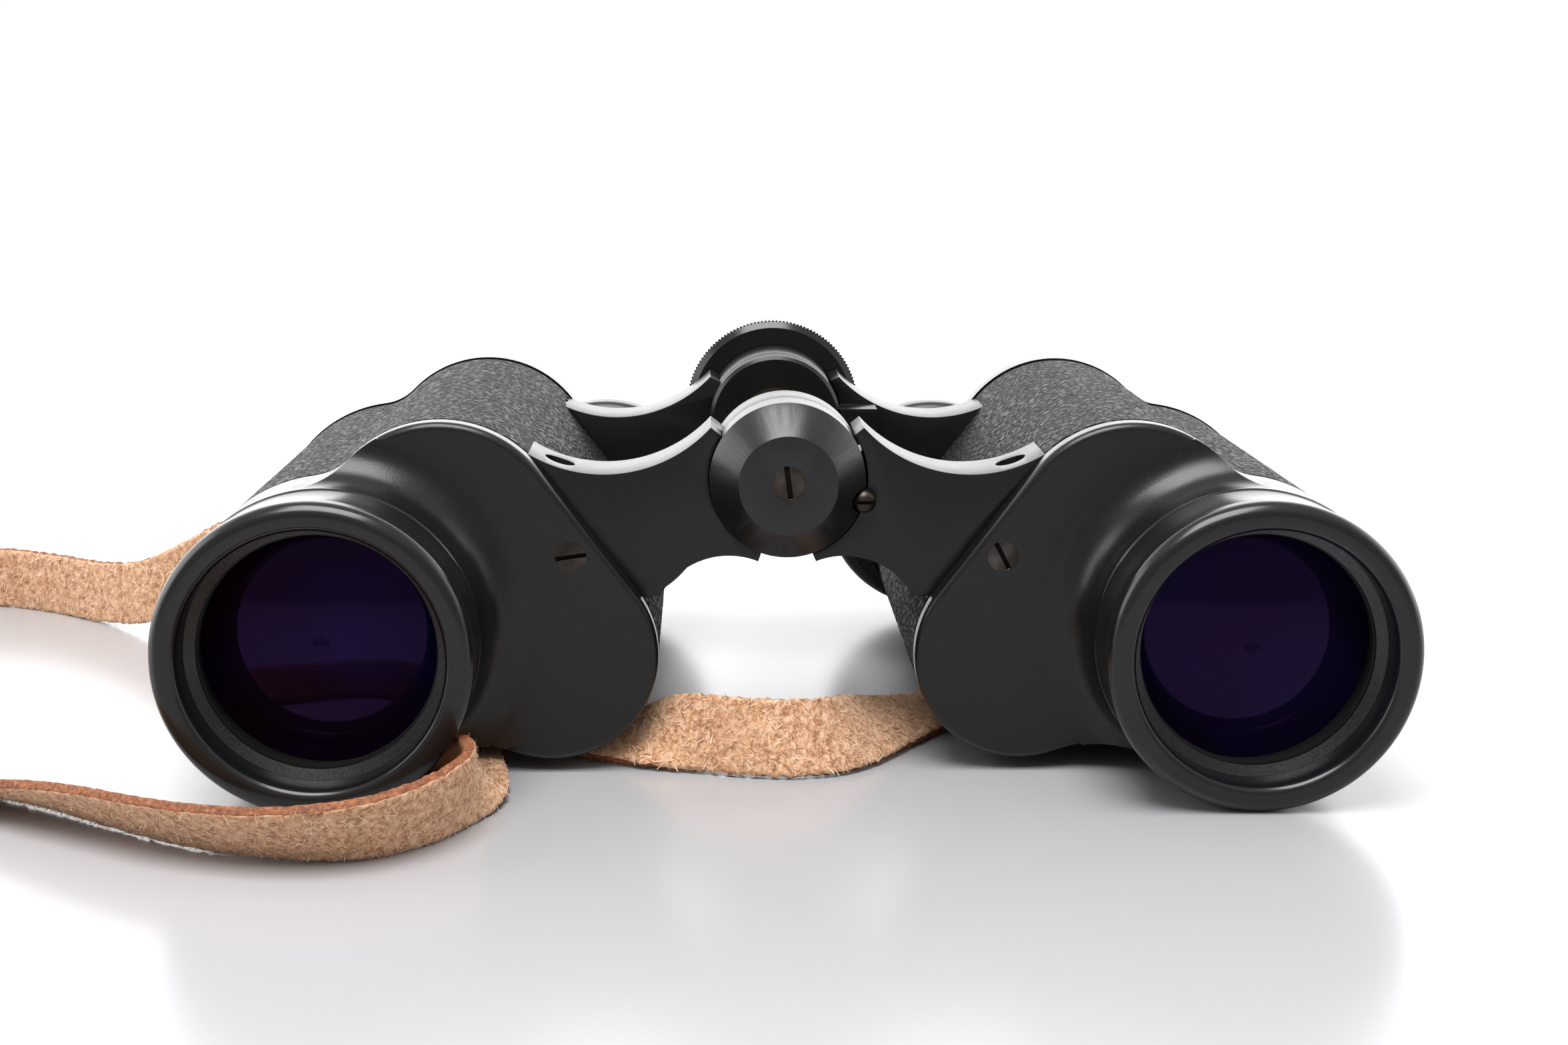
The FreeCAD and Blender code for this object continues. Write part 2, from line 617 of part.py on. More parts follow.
def prism_shelf():
    shelf = housing_slab(cavity, shelf_front, shelf_back)
    foot = clamp_foot_centre(fold_point, eyepiece)
    hole = between(objective, foot) - clamp_width / 2 - foot_margin
    for centre, radius in ((objective, hole), (fold_point, 7.6), (eyepiece, 6.6)):
        shelf = shelf.cut(rod(centre, radius, shelf_front - 1, shelf_back + 1))
    return shelf


# ---- eyepiece ------------------------------------------------------------------------------
def eyepiece_guide():
    return turned(eyepiece, [(tube_radius + running_gap, rear_cover_back), (guide_radius, rear_cover_back),
                             (guide_radius, guide_back - 0.6), (guide_radius - 0.6, guide_back),
                             (tube_radius + running_gap, guide_back)])


def eyepiece_tube():
    return tube(eyepiece, tube_radius, ocular_radius + running_gap, tube_front, tube_back)


def field_lens():
    rim = tube_front + 3.6
    return lens(ocular_radius, rim, rim - 2.2, rim + 1.2, rim + 1.3, eyepiece)


def ocular_cell():
    """Inner tube with the eye lens seat, which carries the eyecup."""
    outer, front = ocular_radius, tube_front + 6.2
    return turned(eyepiece, [(outer - 1.2, front), (outer, front), (outer, cell_step + 0.8),
                             (outer - 3.0, cell_step + 0.8), (outer - 3.0, cell_step), (outer - 1.2, cell_step)])


def eye_lens():
    rim = ocular_radius - 1.2
    return lens(rim, cell_step - 3.0, cell_step - 4.2, cell_step - 0.35, cell_step + 0.6, eyepiece)


def eyecup():
    r = eyecup_radius
    back = rear_length
    return turned(eyepiece, [
        (ocular_radius, eyecup_front), (r - 1.6, eyecup_front), (r - 0.5, eyecup_front + 0.5, "arc",
         r, eyecup_front + 1.6), (r, back - 1.6), (r - 0.5, back - 0.5, "arc", r - 1.6, back),
        (r - 2.4, back), (ocular_radius + 0.6, back - 4.2), (ocular_radius, back - 4.2)])


def collar_ring():
    return turned(eyepiece, [(tube_radius + running_gap, bridge_back + 0.15), (diopter_radius, bridge_back + 0.15),
                             (diopter_radius, diopter_back), (tube_radius + running_gap, diopter_back)])


# ---- strap ------------------------------------------------------------------------------
# Middle line of the strap as (x, y, height above the surface, lean in degrees): at lean 90
# the strap stands on its edge, at 180 and 0 it lies flat. Chosen by hand, left lug last.
main_route = [
    (89.1, 84.9, 8.2, 90), (93.0, 90.5, 5.4, 90), (94.5, 99.0, 5.2, 90), (91.5, 110.5, 5.2, 90),
    (82.0, 121.0, 5.2, 90), (68.0, 124.5, 5.2, 90), (56.0, 118.0, 5.3, 92), (50.5, 105.0, 5.5, 102),
    (49.5, 91.0, 4.6, 132), (46.5, 77.0, 1.7, 170), (42.0, 62.0, 0.8, 180), (36.5, 48.0, 0.8, 180),
    (30.0, 35.0, 0.8, 180), (24.0, 25.0, 1.3, 174), (18.6, 17.0, 2.3, 163), (13.6, 9.0, 3.5, 147),
    (10.4, 2.2, 4.5, 129), (6.4, -3.0, 5.0, 117), (0.2, -4.9, 5.2, 108), (-6.2, -4.0, 5.3, 104),
    (-12.5, -1.8, 5.4, 104), (-19.0, 2.2, 4.1, 141), (-25.5, 7.0, 1.8, 168), (-32.0, 12.0, 0.8, 180),
    (-38.5, 14.0, 0.8, 180), (-43.8, 10.0, 0.8, 180), (-44.6, 3.0, 0.8, 180), (-43.0, -4.5, 1.0, 178),
    (-41.8, -11.5, 2.5, 161), (-40.2, -18.5, 5.2, 118), (-40.2, -25.5, 5.4, 82),
    (-43.4, -33.5, 5.2, 70), (-50.5, -40.5, 4.8, 58), (-61.0, -41.5, 4.4, 48), (-74.0, -37.0, 4.2, 45),
    (-87.0, -28.5, 4.1, 42), (-99.0, -20.0, 3.2, 26), (-113.0, -12.5, 1.6, 8), (-129.0, -8.0, 0.9, 0),
    (-147.0, -6.0, 0.9, 0), (-166.0, -1.0, 0.9, 0), (-183.0, 10.0, 0.9, 0), (-195.0, 27.0, 0.9, 0),
    (-200.0, 47.0, 0.9, 0), (-196.0, 67.0, 1.2, -5), (-184.0, 83.0, 2.7, -22), (-168.0, 93.0, 4.6, -48),
    (-151.0, 98.0, 5.4, -76), (-137.0, 98.0, 5.3, -88), (-125.0, 93.0, 5.2, -90),
    (-114.0, 84.0, 5.3, -90), (-104.0, 75.5, 7.2, -90), (-95.0, 71.0, 12.0, -90),
    (-86.0, 72.0, 17.0, -90), (-78.5, 75.0, 19.8, -90), (-72.4, 75.5, 20.3, -90)]
end_route = [(72.4, 75.5, 20.3, 90), (78.0, 75.6, 19.2, 90), (84.3, 78.2, 14.0, 90), (88.5, 84.0, 9.0, 90)]


def route_line(points):
    """Straight runs joined by tangent arcs; returns stations and the arcs' radii.

    A station is (place, direction, lean, length so far).
    """
    places = [V(x, y, z - hinge_height) for x, y, z, lean in points]
    leans = [p[3] for p in points]
    stations = []
    radii = []
    run = 0.0
    last = places[0]

    def add(place, direction, lean):
        nonlocal run, last
        run += (place - last).Length
        last = place
        stations.append((place, direction, lean, run))

    first = (places[1] - places[0]).normalize()
    add(places[0], first, leans[0])
    for i in range(1, len(places) - 1):
        into = places[i] - places[i - 1]
        out = places[i + 1] - places[i]
        turn = into.getAngle(out)
        cut = 0.45 * min(into.Length, out.Length)
        radius = cut / tan(turn / 2)
        radii.append(radius)
        a, b = V(into).normalize(), V(out).normalize()
        start = places[i] - a * cut
        side = (b - a * a.dot(b)).normalize()
        steps = 4
        for k in range(steps + 1):
            angle = turn * k / steps
            place = start + a * (radius * sin(angle)) + side * (radius * (1 - cos(angle)))
            direction = a * cos(angle) + side * sin(angle)
            before = k < steps / 2
            other, length = (leans[i - 1], into.Length) if before else (leans[i + 1], out.Length)
            lean = leans[i] + (other - leans[i]) * abs(1 - 2 * k / steps) * cut / length
            add(place, direction, lean)
    add(places[-1], (places[-1] - places[-2]).normalize(), leans[-1])
    return stations, radii


def ribbon(stations):
    """Closed flat band with planar facets along the stations."""
    rings = []
    for place, direction, lean, run in stations:
        flat = V(-direction.y, direction.x, 0).normalize()
        up = direction.cross(flat) * -1
        if up.z < 0:
            up = up * -1
        c, s = cos(radians(lean)), sin(radians(lean))
        wide = (flat * c + up * s) * (strap_width / 2)
        thick = (up * c - flat * s) * (strap_thickness / 2)
        rings.append([place + wide + thick, place - wide + thick, place - wide - thick, place + wide - thick])
    faces = []

    def triangle(a, b, c):
        faces.append(Part.Face(Part.makePolygon([a, b, c, a])))

    for one, two in zip(rings[:-1], rings[1:]):
        for k in range(4):
            n = (k + 1) % 4
            triangle(one[k], one[n], two[n])
            triangle(one[k], two[n], two[k])
    for end in (rings[0], rings[-1]):
        triangle(end[0], end[1], end[2])
        triangle(end[0], end[2], end[3])
    solid = Part.makeSolid(Part.makeShell(faces))
    if solid.Volume < 0:
        solid.reverse()
    return solid


def make_strap(name, points):
    stations, radii = route_line(points)
    band = ribbon(stations)
    length = stations[-1][3]
    section = strap_width * strap_thickness
    print(name, "length %.1f" % length, "volume / section x length %.3f" % (band.Volume / section / length))
    print("  arc radii", " ".join("%.0f" % r for r in radii))
    save(name, band)


def main():
    os.makedirs("parts", exist_ok=True)

    front_left, rear_left = left_arms()
    front_right, rear_right = right_arms()
    save("front_arm_left", front_left)
    save("rear_arm_left", rear_left)
    save("front_arm_right", front_right)
    save("rear_arm_right", rear_right)
    save_pair("prism_housing", prism_housing())
    save("leatherette_right", leatherette(front_right.fuse(rear_right)))
    save("leatherette_left", mirrored(leatherette(mirrored(front_left.fuse(rear_left)))))
    save_pair("front_cover", front_cover())
    save_pair("rear_cover", rear_cover())
    save("cover_screws_right", Part.makeCompound(cover_screws(62)))
    save("cover_screws_left", mirrored(Part.makeCompound(cover_screws(8))))
    save_pair("strap_lug", strap_lug())

    save_pair("objective_ring", objective_ring())
    save_pair("objective_cell", objective_cell())
    save_pair("objective_retainer", retaining_ring())
    save_pair("objective_doublet", objective_doublet())

    save_pair("prism_shelf", prism_shelf())
    save_pair("front_prism", prism_between(fold_point, eyepiece, shelf_front, -1))
    save_pair("rear_prism", prism_between(objective, fold_point, shelf_back, 1))
    save_pair("front_prism_clamp", prism_clamp(fold_point, eyepiece, shelf_front, -1))
    save_pair("rear_prism_clamp", prism_clamp(objective, fold_point, shelf_back, 1))

    save("hinge_axle", axle())
    save("hinge_sleeve", hinge_sleeve())
    save("hinge_bushes", bushes())
    save("hinge_cap", front_cap())
    save("hinge_screws", Part.makeCompound([cap_screw(), lock_screw()]))
    save("focus_wheel", focus_wheel())
    save("focus_spindle", spindle())
    save("bridge_nut", bridge_nut())
    save("bridge_arm_left", mirrored(bridge_arm(bridge_front, bridge_middle - 0.05)))
    save("bridge_arm_right", bridge_arm(bridge_middle + 0.05, bridge_back))

    save_pair("eyepiece_guide", eyepiece_guide())
    save_pair("eyepiece_tube", eyepiece_tube())
    save_pair("field_lens", field_lens())
    save_pair("ocular_cell", ocular_cell())
    save_pair("eye_lens", eye_lens())
    save_pair("eyecup", eyecup())
    save("diopter_ring", collar_ring())
    save("eyepiece_collar_left", mirrored(collar_ring()))

    make_strap("neck_strap", main_route)
    make_strap("strap_end_right", end_route)


main()
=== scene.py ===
import math
import bpy
import bmesh
from mathutils import Matrix, Vector, noise
from mathutils.bvhtree import BVHTree


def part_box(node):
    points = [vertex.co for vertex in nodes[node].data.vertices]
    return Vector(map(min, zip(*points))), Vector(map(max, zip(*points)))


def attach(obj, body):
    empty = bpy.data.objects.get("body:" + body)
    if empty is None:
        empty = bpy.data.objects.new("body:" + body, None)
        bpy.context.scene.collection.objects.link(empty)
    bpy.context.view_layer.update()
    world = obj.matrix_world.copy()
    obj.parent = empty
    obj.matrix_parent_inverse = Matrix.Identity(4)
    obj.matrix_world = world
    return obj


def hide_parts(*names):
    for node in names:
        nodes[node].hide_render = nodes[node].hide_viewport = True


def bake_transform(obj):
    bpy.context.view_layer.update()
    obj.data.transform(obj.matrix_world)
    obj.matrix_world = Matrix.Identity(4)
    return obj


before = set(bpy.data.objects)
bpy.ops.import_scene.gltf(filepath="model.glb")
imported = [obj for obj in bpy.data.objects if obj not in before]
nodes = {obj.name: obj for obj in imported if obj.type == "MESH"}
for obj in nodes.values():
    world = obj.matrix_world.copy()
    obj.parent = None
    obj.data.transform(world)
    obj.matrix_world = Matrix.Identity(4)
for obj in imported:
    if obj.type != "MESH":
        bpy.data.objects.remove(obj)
scene = bpy.context.scene
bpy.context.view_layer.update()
mm = 0.001


# camera
viewPoint = {"place": (-0.010657, -0.331074, 0.09119), "yaw": 1.986, "pitch": -10.973,
             "roll": 0.342, "lens": 51.6}        # degrees, millimetres of lens


def addCamera(s):
    yaw, pitch, roll = (math.radians(s[k]) for k in ("yaw", "pitch", "roll"))
    ahead = Vector((math.sin(yaw) * math.cos(pitch), math.cos(yaw) * math.cos(pitch), math.sin(pitch)))
    right = Vector((math.cos(yaw), -math.sin(yaw), 0))
    up = right.cross(ahead)
    tiltedRight = right * math.cos(roll) + up * math.sin(roll)
    tiltedUp = up * math.cos(roll) - right * math.sin(roll)
    turn = Matrix((tiltedRight, tiltedUp, -ahead)).transposed()
    data = bpy.data.cameras.new("viewCamera")
    data.lens, data.sensor_width = s["lens"], 36
    data.clip_start = 0.01
    camera = bpy.data.objects.new("viewCamera", data)
    camera.matrix_world = Matrix.Translation(s["place"]) @ turn.to_4x4()
    scene.collection.objects.link(camera)
    scene.camera = camera


addCamera(viewPoint)
print("camera placed")


# small helpers
def shown(name, mesh):
    piece = bpy.data.objects.new(name, mesh)
    scene.collection.objects.link(piece)
    return piece


def meshFrom(bm, name):
    mesh = bpy.data.meshes.new(name)
    bm.to_mesh(mesh)
    bm.free()
    return mesh


def frozen(piece, name):
    # the evaluated shape as a plain mesh, with the modifiers gone
    bpy.context.view_layer.update()
    shape = piece.evaluated_get(bpy.context.evaluated_depsgraph_get())
    mesh = bpy.data.meshes.new_from_object(shape)
    piece.modifiers.clear()
    piece.data = mesh
    mesh.name = name
    return piece


def smoothed(mesh, degrees=35):
    mesh.shade_smooth()
    mesh.set_sharp_from_angle(angle=math.radians(degrees))


# node helpers
class Recipe:
    # a material's node tree, with short calls for the nodes that the finishes share
    def __init__(self, name):
        self.material = bpy.data.materials.new(name)
        self.material.use_nodes = True
        self.tree = self.material.node_tree
        self.shader = self.tree.nodes["Principled BSDF"]
        self.where = self.add("ShaderNodeTexCoord").outputs["Object"]

    def add(self, kind, **settings):
        node = self.tree.nodes.new(kind)
        for key, value in settings.items():
            setattr(node, key, value)
        return node

    def link(self, a, b):
        self.tree.links.new(a, b)

    def fix(self, **sockets):
        for key, value in sockets.items():
            self.shader.inputs[key.replace("_", " ")].default_value = value

    def placed(self, scale=(1, 1, 1), turn=(0, 0, 0), centre=(0, 0, 0)):
        node = self.add("ShaderNodeMapping")
        node.inputs["Scale"].default_value = scale
        node.inputs["Rotation"].default_value = turn
        node.inputs["Location"].default_value = centre
        self.link(self.where, node.inputs["Vector"])
        return node.outputs["Vector"]

    def noise(self, scale, detail=3.0, rough=0.55, vector=None):
        node = self.add("ShaderNodeTexNoise")
        node.inputs["Scale"].default_value = scale
        node.inputs["Detail"].default_value = detail
        node.inputs["Roughness"].default_value = rough
        self.link(vector or self.where, node.inputs["Vector"])
        return node.outputs["Fac"]

    def cells(self, scale, feature="F1", vector=None):
        node = self.add("ShaderNodeTexVoronoi", feature=feature)
        node.inputs["Scale"].default_value = scale
        self.link(vector or self.where, node.inputs["Vector"])
        return node.outputs["Distance"]

    def ramp(self, source, stops):
        node = self.add("ShaderNodeValToRGB")
        line = node.color_ramp
        while len(line.elements) < len(stops):
            line.elements.new(0.5)
        for element, (place, colour) in zip(line.elements, stops):
            element.position = place
            element.color = (*colour, 1) if len(colour) == 3 else colour
        self.link(source, node.inputs["Fac"])
        return node.outputs["Color"]

    def span(self, source, low, high, fromLow=0.0, fromHigh=1.0):
        node = self.add("ShaderNodeMapRange")
        for key, value in (("From Min", fromLow), ("From Max", fromHigh), ("To Min", low), ("To Max", high)):
            node.inputs[key].default_value = value
        self.link(source, node.inputs["Value"])
        return node.outputs["Result"]

    def mix(self, share, a, b, kind="MIX"):
        node = self.add("ShaderNodeMix", data_type="RGBA", blend_type=kind)
        for socket, value in ((node.inputs[0], share), (node.inputs[6], a), (node.inputs[7], b)):
            if isinstance(value, bpy.types.NodeSocket):
                self.link(value, socket)
            else:
                socket.default_value = value if isinstance(value, float) else (*value, 1)
        return node.outputs[2]

    def bump(self, height, distance, strength=1.0, under=None):
        node = self.add("ShaderNodeBump")
        node.inputs["Distance"].default_value = distance
        node.inputs["Strength"].default_value = strength
        self.link(height, node.inputs["Height"])
        if under:
            self.link(under, node.inputs["Normal"])
        return node.outputs["Normal"]

    def plug(self, **sockets):
        for key, value in sockets.items():
            self.link(value, self.shader.inputs[key.replace("_", " ")])
        return self.material


# finishes
def satinPaint(name, shade, rough, grain=1.0, speck=0.035, shine=0.36):
    # stoved black paint: fine orange-peel, cloudy gloss and a few pale dust specks
    r = Recipe(name)
    r.fix(Specular_IOR_Level=shine)
    cloud = r.noise(90, 4)
    specks = r.span(r.noise(2600, 2, 0.6), 0.0, 1.0, 0.71, 0.76)
    base = r.mix(cloud, (shade * 0.85, shade * 0.85, shade * 0.88), (shade * 1.2, shade * 1.22, shade * 1.26))
    peel = r.noise(3800, 3, 0.6)
    return r.plug(
        Base_Color=r.mix(specks, base, (speck, speck, speck * 1.04)),
        Roughness=r.span(r.noise(420, 5, 0.7), rough - 0.05, rough + 0.06),
        Normal=r.bump(peel, 0.000035 * grain, 0.5))


def ringEnamel():
    # deeper gloss on the turned rings, with faint turning marks and rubbed dots
    r = Recipe("ringEnamel")
    r.fix(Specular_IOR_Level=0.46)
    marks = r.noise(1.0, 2, 0.5, r.placed((60, 5200, 60)))
    dots = r.span(r.noise(900, 3, 0.65), 0.0, 1.0, 0.73, 0.78)
    return r.plug(
        Base_Color=r.mix(dots, (0.0065, 0.0067, 0.0072), (0.022, 0.022, 0.023)),
        Roughness=r.span(r.noise(240, 4), 0.16, 0.25),
        Normal=r.bump(marks, 0.000008, 0.5))


def leathercloth():
    # pressed grain: the coarse wrinkles are in the mesh, the fine ones here
    r = Recipe("leathercloth")
    r.fix(Specular_IOR_Level=0.3)
    drift = r.add("ShaderNodeTexNoise")
    drift.inputs["Scale"].default_value = 420
    r.link(r.where, drift.inputs["Vector"])
    warp = r.add("ShaderNodeVectorMath", operation="MULTIPLY_ADD")
    warp.inputs[1].default_value = (0.0011, 0.0011, 0.0011)
    r.link(drift.outputs["Color"], warp.inputs[0])
    r.link(r.placed((0.85, 1.0, 0.85)), warp.inputs[2])
    creases = r.span(r.cells(960, "DISTANCE_TO_EDGE", warp.outputs[0]), 0.0, 1.0, 0.0, 0.28)
    grain = r.noise(3200, 4, 0.65)
    tone = r.mix(grain, (0.012, 0.012, 0.0125), (0.034, 0.035, 0.037))
    # painted shade: the colour goes darker down into the fine creases between the pebbles
    creaseShaded = r.mix(creases, (0.006, 0.006, 0.0065), tone)
    fine = r.bump(grain, 0.00005, 0.6)
    return r.plug(Base_Color=creaseShaded, Roughness=r.span(creases, 0.75, 0.46),
                  Normal=r.bump(creases, 0.0003, 1.0, fine))


def burntSteel():
    # screws browned by heat, with scratches round the slot
    r = Recipe("burntSteel")
    r.fix(Metallic=1.0)
    heat = r.noise(260, 3, 0.55)
    tone = r.ramp(heat, [(0.3, (0.04, 0.032, 0.027)), (0.52, (0.06, 0.048, 0.04)), (0.7, (0.1, 0.09, 0.084))])
    scratch = r.noise(1.0, 3, 0.6, r.placed((900, 900, 9000), (0.4, 0.3, 0.2)))
    return r.plug(Base_Color=tone, Roughness=r.span(scratch, 0.28, 0.5), Normal=r.bump(scratch, 0.00001, 0.6))


def turnedMetal(name, low, high, rough):
    # machined rings: fine concentric grooves about each optical axis
    r = Recipe(name)
    r.fix(Metallic=1.0)
    grooves = r.noise(1.0, 2, 0.6, r.placed((5200, 900, 5200)))
    return r.plug(Base_Color=r.mix(grooves, low, high), Roughness=r.span(grooves, rough - 0.08, rough + 0.1),
                  Normal=r.bump(grooves, 0.000012, 0.7))


def coatedGlass():
    # bloomed objective, violet in the middle, blue and wine red towards the rim; drawn opaque, its dark base colour is
    # painted shade for the unlit inside of the body seen through the glass, with these tints laid over it at random
    r = Recipe("coatedGlass")
    r.fix(Roughness=0.03, IOR=1.5, Specular_IOR_Level=0.24, Specular_Tint=(0.5, 0.24, 1.0, 1))
    slow = r.noise(38, 2, 0.5, r.placed((1, 1, 1.8)))
    tone = r.ramp(slow, [(0.32, (0.006, 0.0012, 0.0035)), (0.5, (0.005, 0.002, 0.012)), (0.66, (0.004, 0.004, 0.024))])
    return r.plug(Base_Color=tone)


def clearPrism():
    r = Recipe("clearPrism")
    r.fix(Roughness=0.04, IOR=1.57, Transmission_Weight=0.9, Base_Color=(0.86, 0.93, 0.9, 1))
    return r.plug(Normal=r.bump(r.noise(300, 2), 0.000004, 0.4))


def mouldedPlastic():
    # eyecups: hard black moulding, slightly greyed by handling
    r = Recipe("mouldedPlastic")
    r.fix(Specular_IOR_Level=0.55)
    wear = r.noise(150, 5, 0.65)
    return r.plug(Base_Color=r.mix(wear, (0.008, 0.008, 0.0085), (0.02, 0.02, 0.0205)),
                  Roughness=r.span(wear, 0.26, 0.44), Normal=r.bump(r.noise(1500, 3), 0.00002, 0.35))


def plainMetal(name, low, high, rough):
    r = Recipe(name)
    r.fix(Metallic=1.0)
    cloud = r.noise(500, 4, 0.6)
    return r.plug(Base_Color=r.mix(cloud, low, high), Roughness=r.span(cloud, rough - 0.06, rough + 0.08),
                  Normal=r.bump(r.noise(3000, 2), 0.00001, 0.4))



def suede():
    # flesh side of the strap: pale tan with darker roots and lighter tips
    r = Recipe("suede")
    r.fix(Sheen_Weight=0.35, Sheen_Roughness=0.5, Sheen_Tint=(1.0, 0.82, 0.62, 1), Specular_IOR_Level=0.2)
    fibre = r.noise(980, 6, 0.78)
    patch = r.noise(210, 4, 0.6)
    tone = r.ramp(fibre, [(0.33, (0.24, 0.095, 0.04)), (0.45, (0.56, 0.29, 0.155)),
                          (0.55, (0.8, 0.5, 0.31)), (0.7, (0.92, 0.68, 0.49))])
    stained = r.mix(r.span(patch, 0.0, 0.35, 0.45, 0.8), tone, (0.6, 0.32, 0.17))
    pits = r.cells(1900)
    low = r.bump(pits, 0.0001, 0.6)
    return r.plug(Base_Color=stained, Roughness=r.span(fibre, 0.82, 0.95), Normal=r.bump(fibre, 0.00016, 0.9, low))


def cutEdge():
    # raw edge of the hide, burnished orange-brown
    r = Recipe("cutEdge")
    fibre = r.noise(1700, 5, 0.7)
    tone = r.ramp(fibre, [(0.3, (0.07, 0.02, 0.008)), (0.5, (0.22, 0.07, 0.024)), (0.7, (0.42, 0.17, 0.07))])
    return r.plug(Base_Color=tone, Roughness=r.span(fibre, 0.6, 0.85), Normal=r.bump(fibre, 0.00014, 0.9))


def grainSide():
    # smooth side of the strap
    r = Recipe("grainSide")
    pores = r.cells(1300)
    cloud = r.noise(120, 5, 0.6)
    tone = r.ramp(cloud, [(0.35, (0.24, 0.1, 0.045)), (0.6, (0.36, 0.17, 0.08)), (0.8, (0.42, 0.21, 0.105))])
    return r.plug(Base_Color=tone, Roughness=r.span(cloud, 0.42, 0.6), Normal=r.bump(pores, 0.00005, 0.5))


def napFibres():
    # loose fibres, each with its own tone
    r = Recipe("napFibres")
    r.fix(Sheen_Weight=0.3, Specular_IOR_Level=0.15, Roughness=0.9)
    tone = r.add("ShaderNodeAttribute", attribute_name="fibreTone").outputs["Fac"]
    return r.plug(Base_Color=r.ramp(tone, [(0.0, (0.34, 0.14, 0.06)), (0.35, (0.62, 0.34, 0.19)),
                                           (0.7, (0.8, 0.53, 0.34)), (1.0, (0.93, 0.74, 0.57))]))


finishes = {
    "cover": satinPaint("coverPaint", 0.006, 0.25, shine=0.4),
    "housing": satinPaint("housingPaint", 0.008, 0.4),
    "arm": satinPaint("armPaint", 0.004, 0.3, shine=0.4),
    "cap": satinPaint("capEnamel", 0.007, 0.3, 0.7, shine=0.5),
    "inner": satinPaint("innerBlack", 0.006, 0.6),
    "ring": ringEnamel(),
    "leather": leathercloth(),
    "screw": burntSteel(),
    "slot": plainMetal("slotShadow", (0.008, 0.007, 0.006), (0.02, 0.017, 0.015), 0.6),
    "retainer": turnedMetal("turnedRetainer", (0.02, 0.02, 0.021), (0.085, 0.085, 0.088), 0.3),
    "alloy": turnedMetal("turnedAlloy", (0.4, 0.4, 0.41), (0.62, 0.62, 0.63), 0.34),
    "glass": coatedGlass(),
    "prism": clearPrism(),
    "plastic": mouldedPlastic(),
    "spring": plainMetal("springSteel", (0.35, 0.35, 0.36), (0.55, 0.55, 0.56), 0.3),
    "bronze": plainMetal("bushBronze", (0.1, 0.062, 0.028), (0.19, 0.12, 0.055), 0.45),
    "suede": suede(),
    "edge": cutEdge(),
    "grain": grainSide(),
    "nap": napFibres(),
}
print("finishes made:", len(finishes))


# strap
strap = {"width": 0.0103, "thickness": 0.0014, "length": 0.687, "across": 20, "edgeSteps": 3,
         "backSteps": 8, "resolution": 22, "roughness": 0.00016, "edgeWander": 0.00035,
         "napDensity": 2600000.0, "napLength": 0.00105, "napWidth": 0.00009}

# middle line from the right lug to the left one, in metres, with the lean in degrees:
# at 90 and -90 the strap stands on its edge, at 0 and 180 it lies flat
strapRoute = [
    (0.0724, 0.04, 0.0203, 90), (0.078, 0.0401, 0.0192, 90), (0.0843, 0.0427, 0.014, 90),
    (0.0888, 0.0489, 0.0086, 90), (0.093, 0.055, 0.0054, 90), (0.0945, 0.0635, 0.0052, 90),
    (0.0915, 0.075, 0.0052, 90), (0.082, 0.0855, 0.0052, 90), (0.068, 0.089, 0.0052, 90),
    (0.056, 0.0825, 0.0053, 92), (0.0505, 0.0695, 0.0055, 102), (0.0495, 0.0555, 0.0046, 132),
    (0.0465, 0.0415, 0.0017, 170), (0.042, 0.0265, 0.0008, 180), (0.0365, 0.0125, 0.0008, 180),
    (0.03, -0.0005, 0.0008, 180), (0.024, -0.0105, 0.0013, 174), (0.0186, -0.0185, 0.0023, 163),
    (0.0136, -0.0265, 0.0035, 147), (0.0104, -0.0333, 0.0045, 129), (0.0064, -0.0385, 0.005, 117),
    (0.0002, -0.0404, 0.0052, 108), (-0.0062, -0.0395, 0.0053, 104), (-0.0125, -0.0373, 0.0054, 104),
    (-0.019, -0.0333, 0.0041, 141), (-0.0255, -0.0285, 0.0018, 168), (-0.032, -0.0235, 0.0008, 180),
    (-0.0385, -0.0215, 0.0008, 180), (-0.0438, -0.0255, 0.0008, 180), (-0.0446, -0.0325, 0.0008, 180),
    (-0.043, -0.04, 0.001, 178), (-0.0418, -0.047, 0.0025, 161), (-0.0402, -0.054, 0.0052, 118),
    (-0.0402, -0.061, 0.0054, 82), (-0.0434, -0.069, 0.0052, 70), (-0.0505, -0.076, 0.0048, 58),
    (-0.061, -0.077, 0.0044, 48), (-0.074, -0.0725, 0.0042, 45), (-0.087, -0.064, 0.0041, 42),
    (-0.099, -0.0555, 0.0032, 26), (-0.113, -0.048, 0.0016, 8), (-0.129, -0.0435, 0.0009, 0),
    (-0.147, -0.0415, 0.0009, 0), (-0.166, -0.0365, 0.0009, 0), (-0.183, -0.0255, 0.0009, 0),
    (-0.195, -0.0085, 0.0009, 0), (-0.2, 0.0115, 0.0009, 0), (-0.196, 0.0315, 0.0012, -5),
    (-0.184, 0.0475, 0.0027, -22), (-0.168, 0.0575, 0.0046, -48), (-0.151, 0.0625, 0.0054, -76),
    (-0.137, 0.0625, 0.0053, -88), (-0.125, 0.0575, 0.0052, -90), (-0.114, 0.0485, 0.0053, -90),
    (-0.104, 0.04, 0.0072, -90), (-0.095, 0.0355, 0.012, -90), (-0.086, 0.0365, 0.017, -90),
    (-0.0785, 0.0395, 0.0198, -90), (-0.0724, 0.04, 0.0203, -90)]


